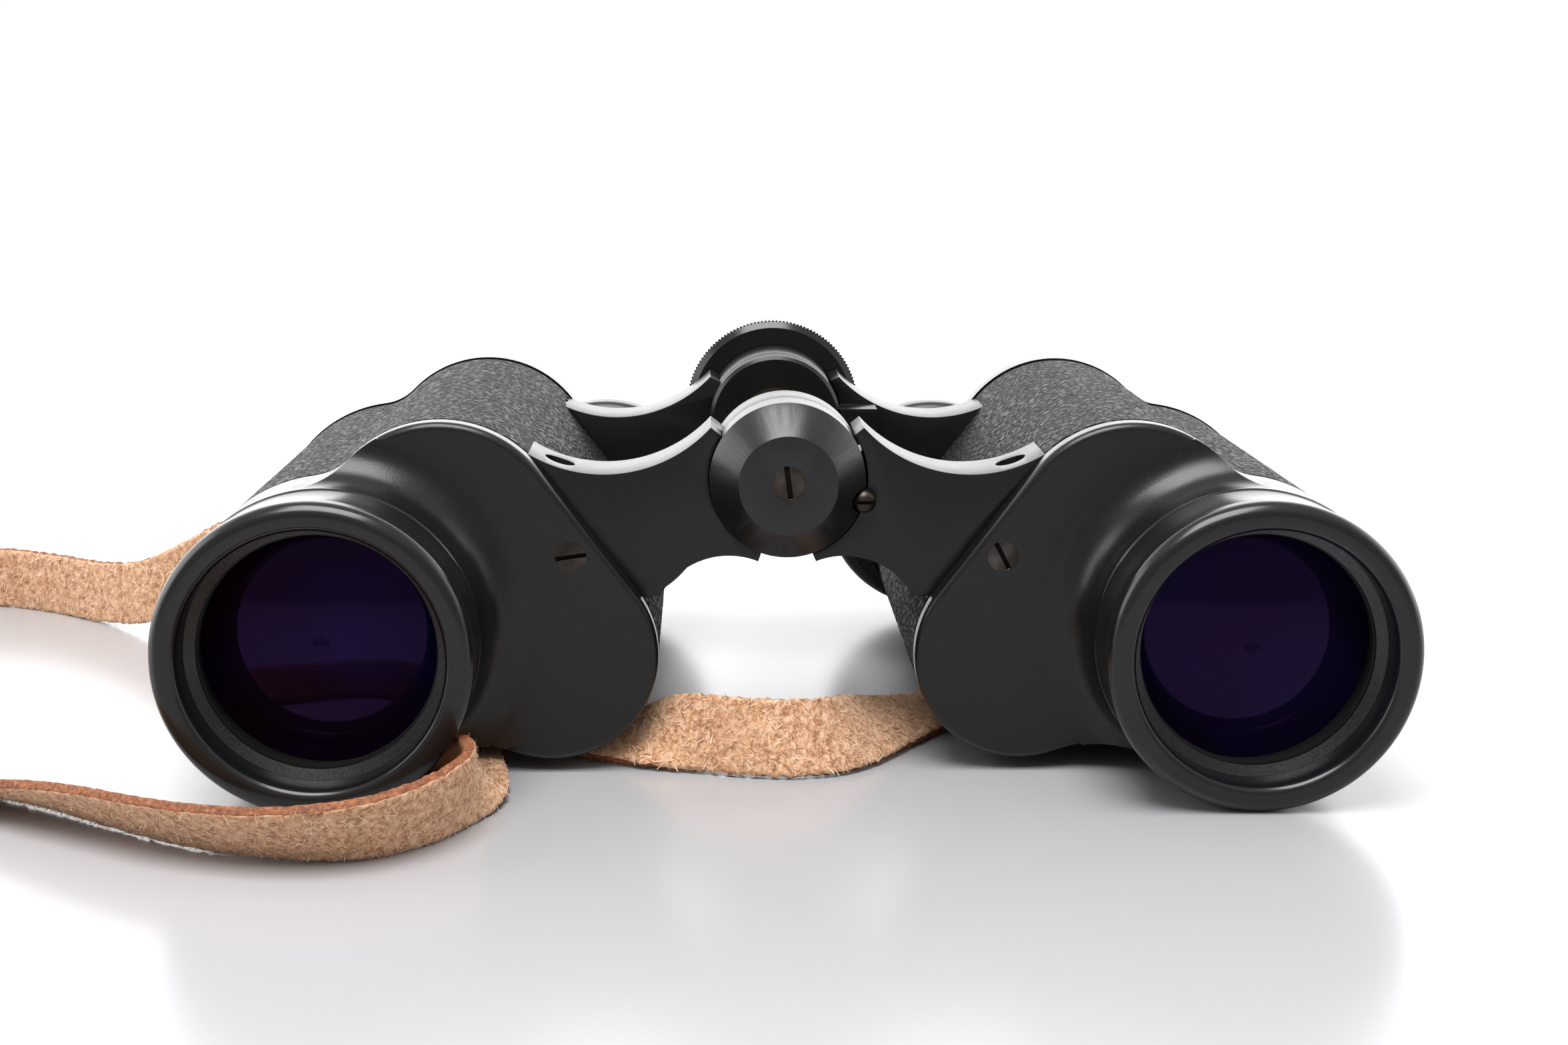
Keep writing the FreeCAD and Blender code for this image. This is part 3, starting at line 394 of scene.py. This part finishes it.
def strapLine(s):
    # the points of the smooth line through the route, and the lean at each
    data = bpy.data.curves.new("strapLine", "CURVE")
    data.dimensions = "3D"
    line = data.splines.new("NURBS")
    line.points.add(len(strapRoute) - 1)
    for point, (x, y, z, lean) in zip(line.points, strapRoute):
        point.co = (x, y, z, 1)
    line.order_u = 3
    line.use_endpoint_u = True
    line.resolution_u = s["resolution"]
    guide = shown("strapLine", data)
    bpy.context.view_layer.update()
    mesh = bpy.data.meshes.new_from_object(guide.evaluated_get(bpy.context.evaluated_depsgraph_get()))
    path = [v.co.copy() for v in mesh.vertices]
    bpy.data.objects.remove(guide)
    bpy.data.meshes.remove(mesh)
    spans = len(strapRoute) - 2
    leans = []
    for k in range(len(path)):
        place = k / (len(path) - 1) * spans
        i = min(int(place), spans - 1)
        t = place - i
        a, b, c = (strapRoute[i + j][3] for j in range(3))
        leans.append((a * (1 - t) ** 2 + b * (1 + 2 * t - 2 * t * t) + c * t * t) / 2)
    return path, leans


def strapFrame(path, leans, k):
    ahead = (path[min(k + 1, len(path) - 1)] - path[max(k - 1, 0)]).normalized()
    flat = Vector((-ahead.y, ahead.x, 0)).normalized()
    up = flat.cross(ahead)
    up = -up if up.z < 0 else up
    lean = math.radians(leans[k])
    wide = flat * math.cos(lean) + up * math.sin(lean)
    back = up * math.cos(lean) - flat * math.sin(lean)
    return wide, back


def strapSection(s):
    # corners of the cross-section, once round: (share of width, share of thickness, material)
    half = [(-1 + 2 * i / s["across"], -1, 0) for i in range(s["across"])]
    half += [(1, -1 + 2 * i / s["edgeSteps"], 1) for i in range(s["edgeSteps"])]
    half += [(1 - 2 * i / s["backSteps"], 1, 2) for i in range(s["backSteps"])]
    return half + [(-1, 1 - 2 * i / s["edgeSteps"], 1) for i in range(s["edgeSteps"])]


def makeStrap(s):
    path, leans = strapLine(s)
    section = strapSection(s)
    bm = bmesh.new()
    sides = bm.loops.layers.uv.new("strapUV")
    rings = []
    travel = 0.0
    marks = []
    for k, place in enumerate(path):
        travel += (place - path[k - 1]).length if k else 0.0
        marks.append(travel)
        wide, back = strapFrame(path, leans, k)
        ring = []
        for across, deep, side in section:
            wander = noise.noise(Vector((travel * 900, across * 7, 3.1))) * s["edgeWander"] * abs(across) ** 8
            crown = 0.00012 * (1 - across * across) * deep
            corner = 0.86 if abs(across) > 0.99 and abs(deep) > 0.99 else 1.0
            spot = place + wide * (across * s["width"] / 2 + wander * (1 if across > 0 else -1))
            spot += back * (deep * corner * s["thickness"] / 2 + crown)
            if side < 2:
                fluff = noise.fractal(spot * 1150, 0.7, 2.1, 3) * s["roughness"]
                spot += (-back if side == 0 else wide * (1 if across > 0 else -1)) * fluff
            spot.z = max(spot.z, 0.00004)
            ring.append(bm.verts.new(spot))
        rings.append(ring)
    count = len(section)
    for k in range(len(rings) - 1):
        for i in range(count):
            j = (i + 1) % count
            face = bm.faces.new((rings[k][i], rings[k][j], rings[k + 1][j], rings[k + 1][i]))
            face.material_index = section[i][2]
            face.smooth = True
            for loop, (mark, step) in zip(face.loops, ((k, i), (k, i + 1), (k + 1, i + 1), (k + 1, i))):
                loop[sides].uv = (marks[mark] * 10, step / count)
    bm.faces.new(rings[0][::-1]).material_index = 1
    bm.faces.new(rings[-1]).material_index = 1
    bmesh.ops.recalc_face_normals(bm, faces=bm.faces)
    mesh = meshFrom(bm, "neckStrap")
    for key in ("suede", "edge", "grain"):
        mesh.materials.append(finishes[key])
    return shown("neckStrap", mesh), path


# geometry node helpers
def startTree(name, inputs):
    tree = bpy.data.node_groups.new(name, "GeometryNodeTree")
    tree.interface.new_socket("Geometry", in_out="INPUT", socket_type="NodeSocketGeometry")
    for label, kind in inputs:
        tree.interface.new_socket(label, in_out="INPUT", socket_type="NodeSocket" + kind)
    tree.interface.new_socket("Geometry", in_out="OUTPUT", socket_type="NodeSocketGeometry")
    source = tree.nodes.new("NodeGroupInput").outputs
    target = tree.nodes.new("NodeGroupOutput").inputs

    def put(kind, links=(), **settings):
        node = tree.nodes.new(kind)
        for key, value in settings.items():
            setattr(node, key, value)
        for socket, value in links:
            if isinstance(value, bpy.types.NodeSocket):
                tree.links.new(value, node.inputs[socket])
            else:
                node.inputs[socket].default_value = value
        return node.outputs

    return tree, source, target, put


def grow(piece, tree, values):
    # runs a tree on a piece and keeps the result as its plain mesh
    step = piece.modifiers.new(tree.name, "NODES")
    step.node_group = tree
    for item in tree.interface.items_tree:
        if item.in_out == "INPUT" and item.name in values:
            step[item.identifier] = values[item.name]
    return frozen(piece, piece.name)


def napTree():
    # short bent blades scattered over a surface, lying nearly flat on it
    tree, source, target, put = startTree("suedeNap", [
        ("Density", "Float"), ("Blade Length", "Float"), ("Blade Width", "Float"),
        ("Seed", "Int"), ("Material", "Material")])
    link = tree.links.new
    blade = put("GeometryNodeMeshGrid", [("Size X", source["Blade Length"]), ("Size Y", source["Blade Width"]),
                                         ("Vertices X", 3), ("Vertices Y", 2)])["Mesh"]
    across = put("ShaderNodeSeparateXYZ", [("Vector", put("GeometryNodeInputPosition")["Position"])])["X"]
    arch = put("ShaderNodeMath", [(0, across), (1, 0.32)], operation="MULTIPLY")[0]
    lift = put("ShaderNodeMath", [(0, arch), (1, 0.00012)], operation="ADD")[0]
    offset = put("ShaderNodeCombineXYZ", [("Z", lift)])["Vector"]
    blade = put("GeometryNodeSetPosition", [("Geometry", blade), ("Offset", offset)])["Geometry"]
    spots = put("GeometryNodeDistributePointsOnFaces", [
        ("Mesh", source["Geometry"]), ("Density", source["Density"]), ("Seed", source["Seed"])])
    spin = put("FunctionNodeRandomValue", [(2, 0.0), (3, 2 * math.pi), ("Seed", source["Seed"])])[1]
    spinAxis = put("ShaderNodeCombineXYZ", [("Z", spin)])["Vector"]
    turn = put("FunctionNodeRotateRotation", [("Rotation", spots["Rotation"]), ("Rotate By", spinAxis)],
               rotation_space="LOCAL")["Rotation"]
    size = put("FunctionNodeRandomValue", [(2, 0.5), (3, 1.35), ("Seed", 7)])[1]
    blades = put("GeometryNodeInstanceOnPoints", [
        ("Points", spots["Points"]), ("Instance", blade), ("Rotation", turn), ("Scale", size)])["Instances"]
    tone = put("FunctionNodeRandomValue", [(2, 0.0), (3, 1.0), ("Seed", 11)])[1]
    toned = put("GeometryNodeStoreNamedAttribute", [
        ("Geometry", blades), ("Name", "fibreTone"), ("Value", tone)],
        data_type="FLOAT", domain="INSTANCE")["Geometry"]
    real = put("GeometryNodeRealizeInstances", [("Geometry", toned)])["Geometry"]
    done = put("GeometryNodeSetMaterial", [("Geometry", real), ("Material", source["Material"])])["Geometry"]
    link(done, target["Geometry"])
    return tree


def makeNap(strapPiece, s):
    # the fibres grow on the suede side only
    bm = bmesh.new()
    bm.from_mesh(strapPiece.data)
    bmesh.ops.delete(bm, geom=[f for f in bm.faces if f.material_index], context="FACES")
    nap = shown("strapNap", meshFrom(bm, "strapNap"))
    return grow(nap, napTree(), {"Density": s["napDensity"], "Blade Length": s["napLength"],
                                 "Blade Width": s["napWidth"], "Seed": 5, "Material": finishes["nap"]})


neckStrap, strapPath = makeStrap(strap)
strapNap = makeNap(neckStrap, strap)
for vertex in strapNap.data.vertices:
    vertex.co.z = max(vertex.co.z, 0.00003)
for piece in (neckStrap, strapNap):
    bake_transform(piece)
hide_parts("neck_strap", "strap_end_right")
print("strap made:", len(neckStrap.data.polygons), "faces and", len(strapNap.data.polygons), "in its nap")


# solids taken over from the frame
def mergedCopy(nodeName):
    # a frame node's surface with its triangles merged into flat faces
    bm = bmesh.new()
    bm.from_mesh(nodes[nodeName].data)
    bmesh.ops.remove_doubles(bm, verts=bm.verts, dist=2e-6)
    bmesh.ops.dissolve_limit(bm, angle_limit=math.radians(0.6), verts=bm.verts, edges=bm.edges)
    return bm


def softened(nodeName, body, finish, width=0.00022):
    # the same piece with its sharp edges broken, as stoving paint leaves them
    piece = shown(nodeName + "Soft", meshFrom(mergedCopy(nodeName), nodeName + "Soft"))
    edge = piece.modifiers.new("brokenEdges", "BEVEL")
    edge.width, edge.segments, edge.limit_method = width, 3, "ANGLE"
    edge.angle_limit = math.radians(32)
    edge.harden_normals = False
    frozen(piece, piece.name)
    smoothed(piece.data, 30)
    piece.data.materials.clear()
    piece.data.materials.append(finishes[finish])
    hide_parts(nodeName)
    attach(piece, body)
    return piece


sides = ("left", "right")
softEdges = {"front_arm": ("arm", "arm_paint", 0.0003), "rear_arm": ("arm", "arm_paint", 0.0003),
             "strap_lug": ("arm", "arm_paint", 0.0003)}
for kind, (finish, slotName, width) in softEdges.items():
    for side in sides:
        softened(f"{kind}_{side}", f"{side}_half", finish, width)
softened("hinge_cap", "left_half", "cap", 0.00008)


def darkSlots(piece, deepest=0.0009):
    # painted shade: the slots' floors and walls take the darker slot finish, every face set a little in from a screw's
    # end
    mesh = piece.data
    mesh.materials.append(finishes["slot"])
    bm = bmesh.new()
    bm.from_mesh(mesh)
    todo = set(bm.verts)
    while todo:
        part, stack = set(), [todo.pop()]
        while stack:
            v = stack.pop()
            part.add(v)
            near = [e.other_vert(v) for e in v.link_edges if e.other_vert(v) in todo]
            todo.difference_update(near)
            stack.extend(near)
        ends = (min(v.co.y for v in part), max(v.co.y for v in part))
        wide = [max(Vector((v.co.x, 0, v.co.z)).length for v in part)]
        middle = sum((v.co for v in part), Vector()) / len(part)
        for face in {f for v in part for f in v.link_faces}:
            centre = face.calc_center_median()
            inset = min(abs(centre.y - end) for end in ends)
            reach = max((v.co - middle).to_2d().length for v in part) if wide else 0
            floor = abs(face.normal.y) > 0.9 and 0.00012 < inset < deepest
            wall = abs(face.normal.y) < 0.2 and inset < deepest and len(face.verts) == 4 \
                and Vector((centre.x - middle.x, 0, centre.z - middle.z)).length < 0.0006
            if floor or (wall and reach):
                face.material_index = 1
    bm.to_mesh(mesh)
    bm.free()


for node, body in (("cover_screws_left", "left_half"), ("cover_screws_right", "right_half"),
                   ("hinge_screws", "left_half")):
    darkSlots(softened(node, body, "screw", 0.00004))
print("arms and cap softened")

nodeFinish = {
    "prism_housing": "housing", "front_cover": "cover", "rear_cover": "cover",     "objective_cell": "inner", "objective_retainer": "retainer", "objective_doublet": "glass",
    "prism_shelf": "alloy", "front_prism": "prism", "rear_prism": "prism", "front_prism_clamp": "spring",
    "rear_prism_clamp": "spring", "eyepiece_guide": "ring", "hinge_axle": "cap", 
     "hinge_sleeve": "arm", "hinge_bushes": "bronze", "focus_spindle": "spring",
    "bridge_nut": "screw", "bridge_arm": "arm", "eyepiece_tube": "alloy", "field_lens": "glass",
    "ocular_cell": "inner", "eye_lens": "glass", "eyecup": "plastic"}
for name, node in nodes.items():
    finish = nodeFinish.get(name) or nodeFinish.get(name.rsplit("_", 1)[0])
    if finish:
        node.data.materials.clear()
        node.data.materials.append(finishes[finish])


# turned pieces
def latheAbout(centre, profile, steps, name):
    # profile lists (radius, y) in metres once round the section; the axis runs along Y
    bm = bmesh.new()
    rings = []
    for k in range(steps):
        angle = 2 * math.pi * k / steps
        rings.append([bm.verts.new((centre[0] + r * math.cos(angle), y, centre[1] + r * math.sin(angle)))
                      for r, y in profile])
    for k in range(steps):
        here, after = rings[k], rings[(k + 1) % steps]
        for i in range(len(profile)):
            j = (i + 1) % len(profile)
            bm.faces.new((here[i], here[j], after[j], after[i]))
    bmesh.ops.recalc_face_normals(bm, faces=bm.faces)
    mesh = meshFrom(bm, name)
    smoothed(mesh, 28)
    return mesh


def bow(middle, radii, start, end, steps):
    # a stretch of an ellipse for a profile, from one angle to another
    turns = [math.radians(start + (end - start) * k / steps) for k in range(steps + 1)]
    return [(middle[0] + radii[0] * math.cos(t), middle[1] + radii[1] * math.sin(t)) for t in turns]


def axisOf(nodeName):
    low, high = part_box(nodeName)
    return ((low.x + high.x) / 2, (low.z + high.z) / 2)


objectiveRing = {"lip": 0.0018, "innerLip": 0.0011, "waist": 0.00045, "steps": 224}


def ringProfile(nodeName, s):
    low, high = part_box(nodeName)
    outer = (high.x - low.x) / 2
    mouth = outer - 0.0036
    cellSeat = mouth + 0.00035
    front, back = low.y, high.y
    lip, inner, waist = s["lip"], s["innerLip"], s["waist"]
    profile = bow((mouth + inner, front + inner), (inner, inner), 180, 270, 8)
    profile += bow((outer - lip, front + lip), (lip, lip), 270, 360, 12)
    profile += [(outer, front + 0.0029), (outer, front + 0.00315), (outer - 0.0001, front + 0.0034),
                (outer - waist + 0.00004, front + 0.0050), (outer - waist, front + 0.0053),
                (outer - waist, front + 0.0113), (outer - 0.00035, front + 0.0117),
                (outer - 0.0002, front + 0.0119), (outer - 0.0002, front + 0.0126),
                (mouth + 0.0007, front + 0.0127), (mouth + 0.0007, back), (cellSeat, back),
                (cellSeat, front + 0.0048), (mouth, front + 0.0048)]
    return profile


for side in sides:
    node = f"objective_ring_{side}"
    ring = shown(f"objectiveRing.{side}",
                 latheAbout(axisOf(node), ringProfile(node, objectiveRing), objectiveRing["steps"], node))
    ring.data.materials.append(finishes["ring"])
    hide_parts(node)
    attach(ring, f"{side}_half")
print("objective rings turned")


# ribbed and knurled rims
def rimTree():
    # square bars sunk corner-outwards into a rim, side by side all the way round
    tree, source, target, put = startTree("ribbedRim", [
        ("Rib Count", "Int"), ("Rim Radius", "Float"), ("Rib Size", "Float"), ("Rib Length", "Float"),
        ("Rim Centre", "Vector"), ("Material", "Material")])
    count = source["Rib Count"]
    bar = put("ShaderNodeCombineXYZ", [("X", source["Rib Size"]), ("Y", source["Rib Length"]),
                                       ("Z", source["Rib Size"])])["Vector"]
    rib = put("GeometryNodeMeshCube", [("Size", bar)])["Mesh"]
    step = put("ShaderNodeMath", [(0, 2 * math.pi), (1, count)], operation="DIVIDE")[0]
    angle = put("ShaderNodeMath", [(0, put("GeometryNodeInputIndex")["Index"]), (1, step)],
                operation="MULTIPLY")[0]
    cosine = put("ShaderNodeMath", [(0, angle)], operation="COSINE")[0]
    sine = put("ShaderNodeMath", [(0, angle)], operation="SINE")[0]
    spoke = put("ShaderNodeCombineXYZ", [("X", cosine), ("Z", sine)])["Vector"]
    reach = put("ShaderNodeVectorMath", [(0, spoke), ("Scale", source["Rim Radius"])], operation="SCALE")[0]
    place = put("ShaderNodeVectorMath", [(0, reach), (1, source["Rim Centre"])], operation="ADD")[0]
    points = put("GeometryNodePoints", [("Count", count), ("Position", place)])["Points"]
    back = put("ShaderNodeMath", [(0, math.pi / 4), (1, angle)], operation="SUBTRACT")[0]
    turn = put("ShaderNodeCombineXYZ", [("Y", back)])["Vector"]
    ribs = put("GeometryNodeInstanceOnPoints", [("Points", points), ("Instance", rib),
                                                ("Rotation", turn)])["Instances"]
    real = put("GeometryNodeRealizeInstances", [("Geometry", ribs)])["Geometry"]
    both = tree.nodes.new("GeometryNodeJoinGeometry")
    tree.links.new(source["Geometry"], both.inputs["Geometry"])
    tree.links.new(real, both.inputs["Geometry"])
    done = put("GeometryNodeSetMaterial", [("Geometry", both.outputs["Geometry"]),
                                           ("Material", source["Material"])])["Geometry"]
    tree.links.new(done, target["Geometry"])
    return tree


rims = rimTree()
wheel = {"valley": 0.01385, "chamfer": 0.0009, "ribs": 148, "ribSize": 0.00040, "steps": 148}
grip = {"valley": 0.0159, "ribs": 96, "ribSize": 0.00055, "steps": 144}


def makeWheel(s):
    low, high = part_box("focus_wheel")
    centre = axisOf("focus_wheel")
    rim, front, back, cut = s["valley"], low.y + 0.00045, high.y, s["chamfer"]
    profile = [(0.00554, low.y), (0.0068, low.y), (0.007, low.y + 0.0002), (0.007, front + 0.0005),
               (0.0094, front + 0.0004), (0.0097, front), (rim - cut, front), (rim, front + cut * 0.8),
               (rim, back - cut * 0.8), (rim - cut, back), (0.0094, back), (0.009, back - 0.0008),
               (0.00324, back - 0.0008), (0.00324, low.y + 0.00245), (0.00554, low.y + 0.00245)]
    mesh = latheAbout(centre, profile, s["steps"], "focusWheel")
    piece = grow(shown("focusWheel", mesh), rims, {
        "Rib Count": s["ribs"], "Rim Radius": rim - 0.00002, "Rib Size": s["ribSize"],
        "Rib Length": back - front - 2.4 * cut, "Rim Centre": (centre[0], (front + back) / 2, centre[1]),
        "Material": finishes["ring"]})
    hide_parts("focus_wheel")
    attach(piece, "focus_wheel")


def makeGrip(node, body, s):
    # the turned collar behind each eyepiece, ribbed for the fingers
    low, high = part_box(node)
    centre = axisOf(node)
    rim, front, back = s["valley"], low.y, high.y
    profile = [(0.01304, front), (rim - 0.0003, front), (rim, front + 0.0003), (rim, back - 0.0004),
               (rim - 0.0004, back), (0.0142, back), (0.014, back - 0.0002), (0.01304, back - 0.0002)]
    piece = grow(shown(node + "Grip", latheAbout(centre, profile, s["steps"], node + "Grip")), rims, {
        "Rib Count": s["ribs"], "Rim Radius": rim - 0.00006, "Rib Size": s["ribSize"],
        "Rib Length": (back - front) * 0.7, "Rim Centre": (centre[0], (front + back) / 2, centre[1]),
        "Material": finishes["ring"]})
    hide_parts(node)
    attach(piece, body)


makeWheel(wheel)
makeGrip("diopter_ring", "diopter_ring", grip)
makeGrip("eyepiece_collar_left", "left_carriage", grip)
print("wheel and collars ribbed")


# leather covering
covering = {"pitch": 0.00043, "depth": 0.0001, "pebble": (900, 1500), "thickness": 0.0006}


def coveringLoop(node):
    # the outline of the covering as its surface has it, evenly divided
    low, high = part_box(node)
    cut = low.y + (high.y - low.y) * 0.3
    bm = bmesh.new()
    bm.from_mesh(nodes[node].data)
    bmesh.ops.remove_doubles(bm, verts=bm.verts, dist=2e-6)
    sliced = bmesh.ops.bisect_plane(bm, geom=bm.verts[:] + bm.edges[:] + bm.faces[:], dist=1e-7,
                                    plane_co=(0, cut, 0), plane_no=(0, 1, 0))
    edges = [e for e in sliced["geom_cut"] if isinstance(e, bmesh.types.BMEdge)]
    links = {}
    for e in edges:
        for v in e.verts:
            links.setdefault(v, []).append(e.other_vert(v))
    loops = []
    left = set(links)
    while left:
        start = left.pop()
        loop, here, before = [start.co.copy()], start, None
        while True:
            following = [v for v in links[here] if v is not before and (v in left or v is start)]
            if not following or following[0] is start:
                break
            before, here = here, following[0]
            left.discard(here)
            loop.append(here.co.copy())
        loops.append(loop)
    bm.free()
    outer = max(loops, key=lambda c: sum((c[i] - c[i - 1]).length for i in range(len(c))))
    return [Vector((p.x, 0, p.z)) for p in outer], low.y, high.y


def evenly(loop, pitch):
    lengths = [(loop[(i + 1) % len(loop)] - loop[i]).length for i in range(len(loop))]
    count = round(sum(lengths) / pitch)
    step = sum(lengths) / count
    points, i, used = [], 0, 0.0
    for k in range(count):
        goal = k * step
        while used + lengths[i] < goal:
            used += lengths[i]
            i += 1
        points.append(loop[i].lerp(loop[(i + 1) % len(loop)], (goal - used) / lengths[i]))
    return points


def insideTest(names):
    trees = []
    for name in names:
        bm = mergedCopy(name)
        bmesh.ops.triangulate(bm, faces=bm.faces)
        trees.append((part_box(name), BVHTree.FromBMesh(bm)))
        bm.free()

    def inside(p):
        for (low, high), tree in trees:
            if not all(low[i] - 1e-4 < p[i] < high[i] + 1e-4 for i in range(3)):
                continue
            hits, start = 0, p.copy()
            ray = Vector((0.13, 0.21, 0.97)).normalized()
            while True:
                hit = tree.ray_cast(start, ray)
                if hit[0] is None:
                    break
                hits += 1
                start = hit[0] + ray * 1e-6
            if hits % 2:
                return True
        return False

    return inside


def makeCovering(side, s):
    node = f"leatherette_{side}"
    loop, front, back = coveringLoop(node)
    loop = evenly(loop, s["pitch"])
    rows = round((back - front) / s["pitch"])
    inside = insideTest([f"front_arm_{side}", f"rear_arm_{side}"])
    bm = bmesh.new()
    uv = bm.loops.layers.uv.new("wrapUV")
    outwards = []
    for i in range(len(loop)):
        along = loop[(i + 1) % len(loop)] - loop[i - 1]
        out = Vector((along.z, 0, -along.x)).normalized()
        outwards.append(out)
    area = sum(a.x * b.z - b.x * a.z for a, b in zip(loop, loop[1:] + loop[:1]))
    if area < 0:
        outwards = [-o for o in outwards]
    grid = []
    for row in range(rows + 1):
        y = front + (back - front) * row / rows
        line = []
        for place, out in zip(loop, outwards):
            spot = Vector((place.x, y, place.z))
            flow = Vector((noise.noise(spot * 260), noise.noise(spot * 260 + Vector((9, 9, 9))), 0)) * 0.5
            cell = Vector((spot.x * s["pebble"][0], y * s["pebble"][1], spot.z * s["pebble"][0])) + flow
            near = noise.voronoi(cell)[0]
            height = min((near[1] - near[0]) * 2.2, 1.0)
            edge = min(row, rows - row) / 2
            line.append(bm.verts.new(spot + out * ((height - 1) * s["depth"] * min(edge, 1) - 0.00001)))
        grid.append(line)
    for row in range(rows):
        for i in range(len(loop)):
            j = (i + 1) % len(loop)
            centre = (grid[row][i].co + grid[row + 1][j].co) / 2
            if (centre.y < 0.0 or centre.y > 0.015) and inside(centre - outwards[i] * 0.0002):
                continue
            face = bm.faces.new((grid[row][i], grid[row + 1][i], grid[row + 1][j], grid[row][j]))
            face.smooth = True
            for corner, (a, b) in zip(face.loops, ((i, row), (i, row + 1), (i + 1, row + 1), (i + 1, row))):
                corner[uv].uv = (a / len(loop), b / rows)
    bmesh.ops.delete(bm, geom=[v for v in bm.verts if not v.link_faces], context="VERTS")
    bmesh.ops.recalc_face_normals(bm, faces=bm.faces)
    rim = [e for e in bm.edges if e.is_boundary]
    bm.normal_update()
    skirt = bmesh.ops.extrude_edge_only(bm, edges=rim)["geom"]
    for v in [g for g in skirt if isinstance(g, bmesh.types.BMVert)]:
        flat = Vector((v.co.x, 0, v.co.z))
        i = min(range(0, len(loop), 4), key=lambda k: (loop[k] - flat).length_squared)
        v.co -= outwards[i] * s["thickness"] * 0.9
    piece = shown(f"leatherCovering.{side}", meshFrom(bm, f"leatherCovering.{side}"))
    piece.data.materials.append(finishes["leather"])
    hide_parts(node)
    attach(piece, f"{side}_half")
    print("covering", side, len(piece.data.polygons), "faces")


for side in sides:
    makeCovering(side, covering)


# floor, backdrop and light
studio = {"floorRadius": 40.0, "floorColour": (0.4, 0.398, 0.41), "seen": 1.0, "back": 2.9, "front": 0.4,
          "top": 0.75}


def makeFloor(s):
    bm = bmesh.new()
    bmesh.ops.create_circle(bm, cap_ends=True, segments=96, radius=s["floorRadius"])
    for v in bm.verts:
        v.co.z = -0.00002
    floor = shown("studioFloor", meshFrom(bm, "studioFloor"))
    r = Recipe("paleBoard")
    r.fix(Specular_IOR_Level=0.5)
    haze = r.noise(14, 3)
    floor.data.materials.append(r.plug(
        Base_Color=r.mix(haze, s["floorColour"], tuple(c * 1.015 for c in s["floorColour"])),
        Roughness=r.span(haze, 0.2, 0.26)))


def areaLight(name, place, aim, size, watts, colour=(1, 1, 1)):
    data = bpy.data.lights.new(name, "AREA")
    data.shape, data.size, data.size_y = "RECTANGLE", *size
    data.energy, data.color = watts, colour
    lamp = bpy.data.objects.new(name, data)
    lamp.matrix_world = Matrix.LocRotScale(
        Vector(place), (Vector(aim) - Vector(place)).to_track_quat("-Z", "Y"), (1, 1, 1))
    scene.collection.objects.link(lamp)


def makeSky(s):
    # bright behind and beside the object, dimmer ahead of it and overhead, white where it is seen
    world = bpy.data.worlds.new("studioSky")
    world.use_nodes = True
    scene.world = world
    tree = world.node_tree

    def level(source, low, high, start, end):
        node = tree.nodes.new("ShaderNodeMapRange")
        node.interpolation_type = "SMOOTHSTEP"
        for key, value in (("From Min", start), ("From Max", end), ("To Min", low), ("To Max", high)):
            if isinstance(value, bpy.types.NodeSocket):
                tree.links.new(value, node.inputs[key])
            else:
                node.inputs[key].default_value = value
        tree.links.new(source, node.inputs["Value"])
        return node.outputs["Result"]

    way = tree.nodes.new("ShaderNodeSeparateXYZ")
    tree.links.new(tree.nodes.new("ShaderNodeTexCoord").outputs["Generated"], way.inputs["Vector"])
    around = level(way.outputs["Y"], s["front"], s["back"], -0.45, 0.3)
    over = level(way.outputs["Z"], around, s["top"], 0.35, 0.8)
    seen = tree.nodes.new("ShaderNodeLightPath").outputs["Is Camera Ray"]
    back = tree.nodes["Background"]
    tree.links.new(level(seen, over, s["seen"], 0.0, 1.0), back.inputs["Strength"])
    back.inputs["Color"].default_value = (1, 1, 1, 1)


makeFloor(studio)
makeSky(studio)
areaLight("overhead", (-0.08, -0.27, 0.66), (-0.05, -0.12, 0), (0.42, 0.5), 6.6)
areaLight("sideLeft", (-0.9, -0.1, 0.4), (0, 0, 0.03), (0.5, 0.5), 1.6)
scene.view_settings.view_transform = "Standard"
print("floor and light set")
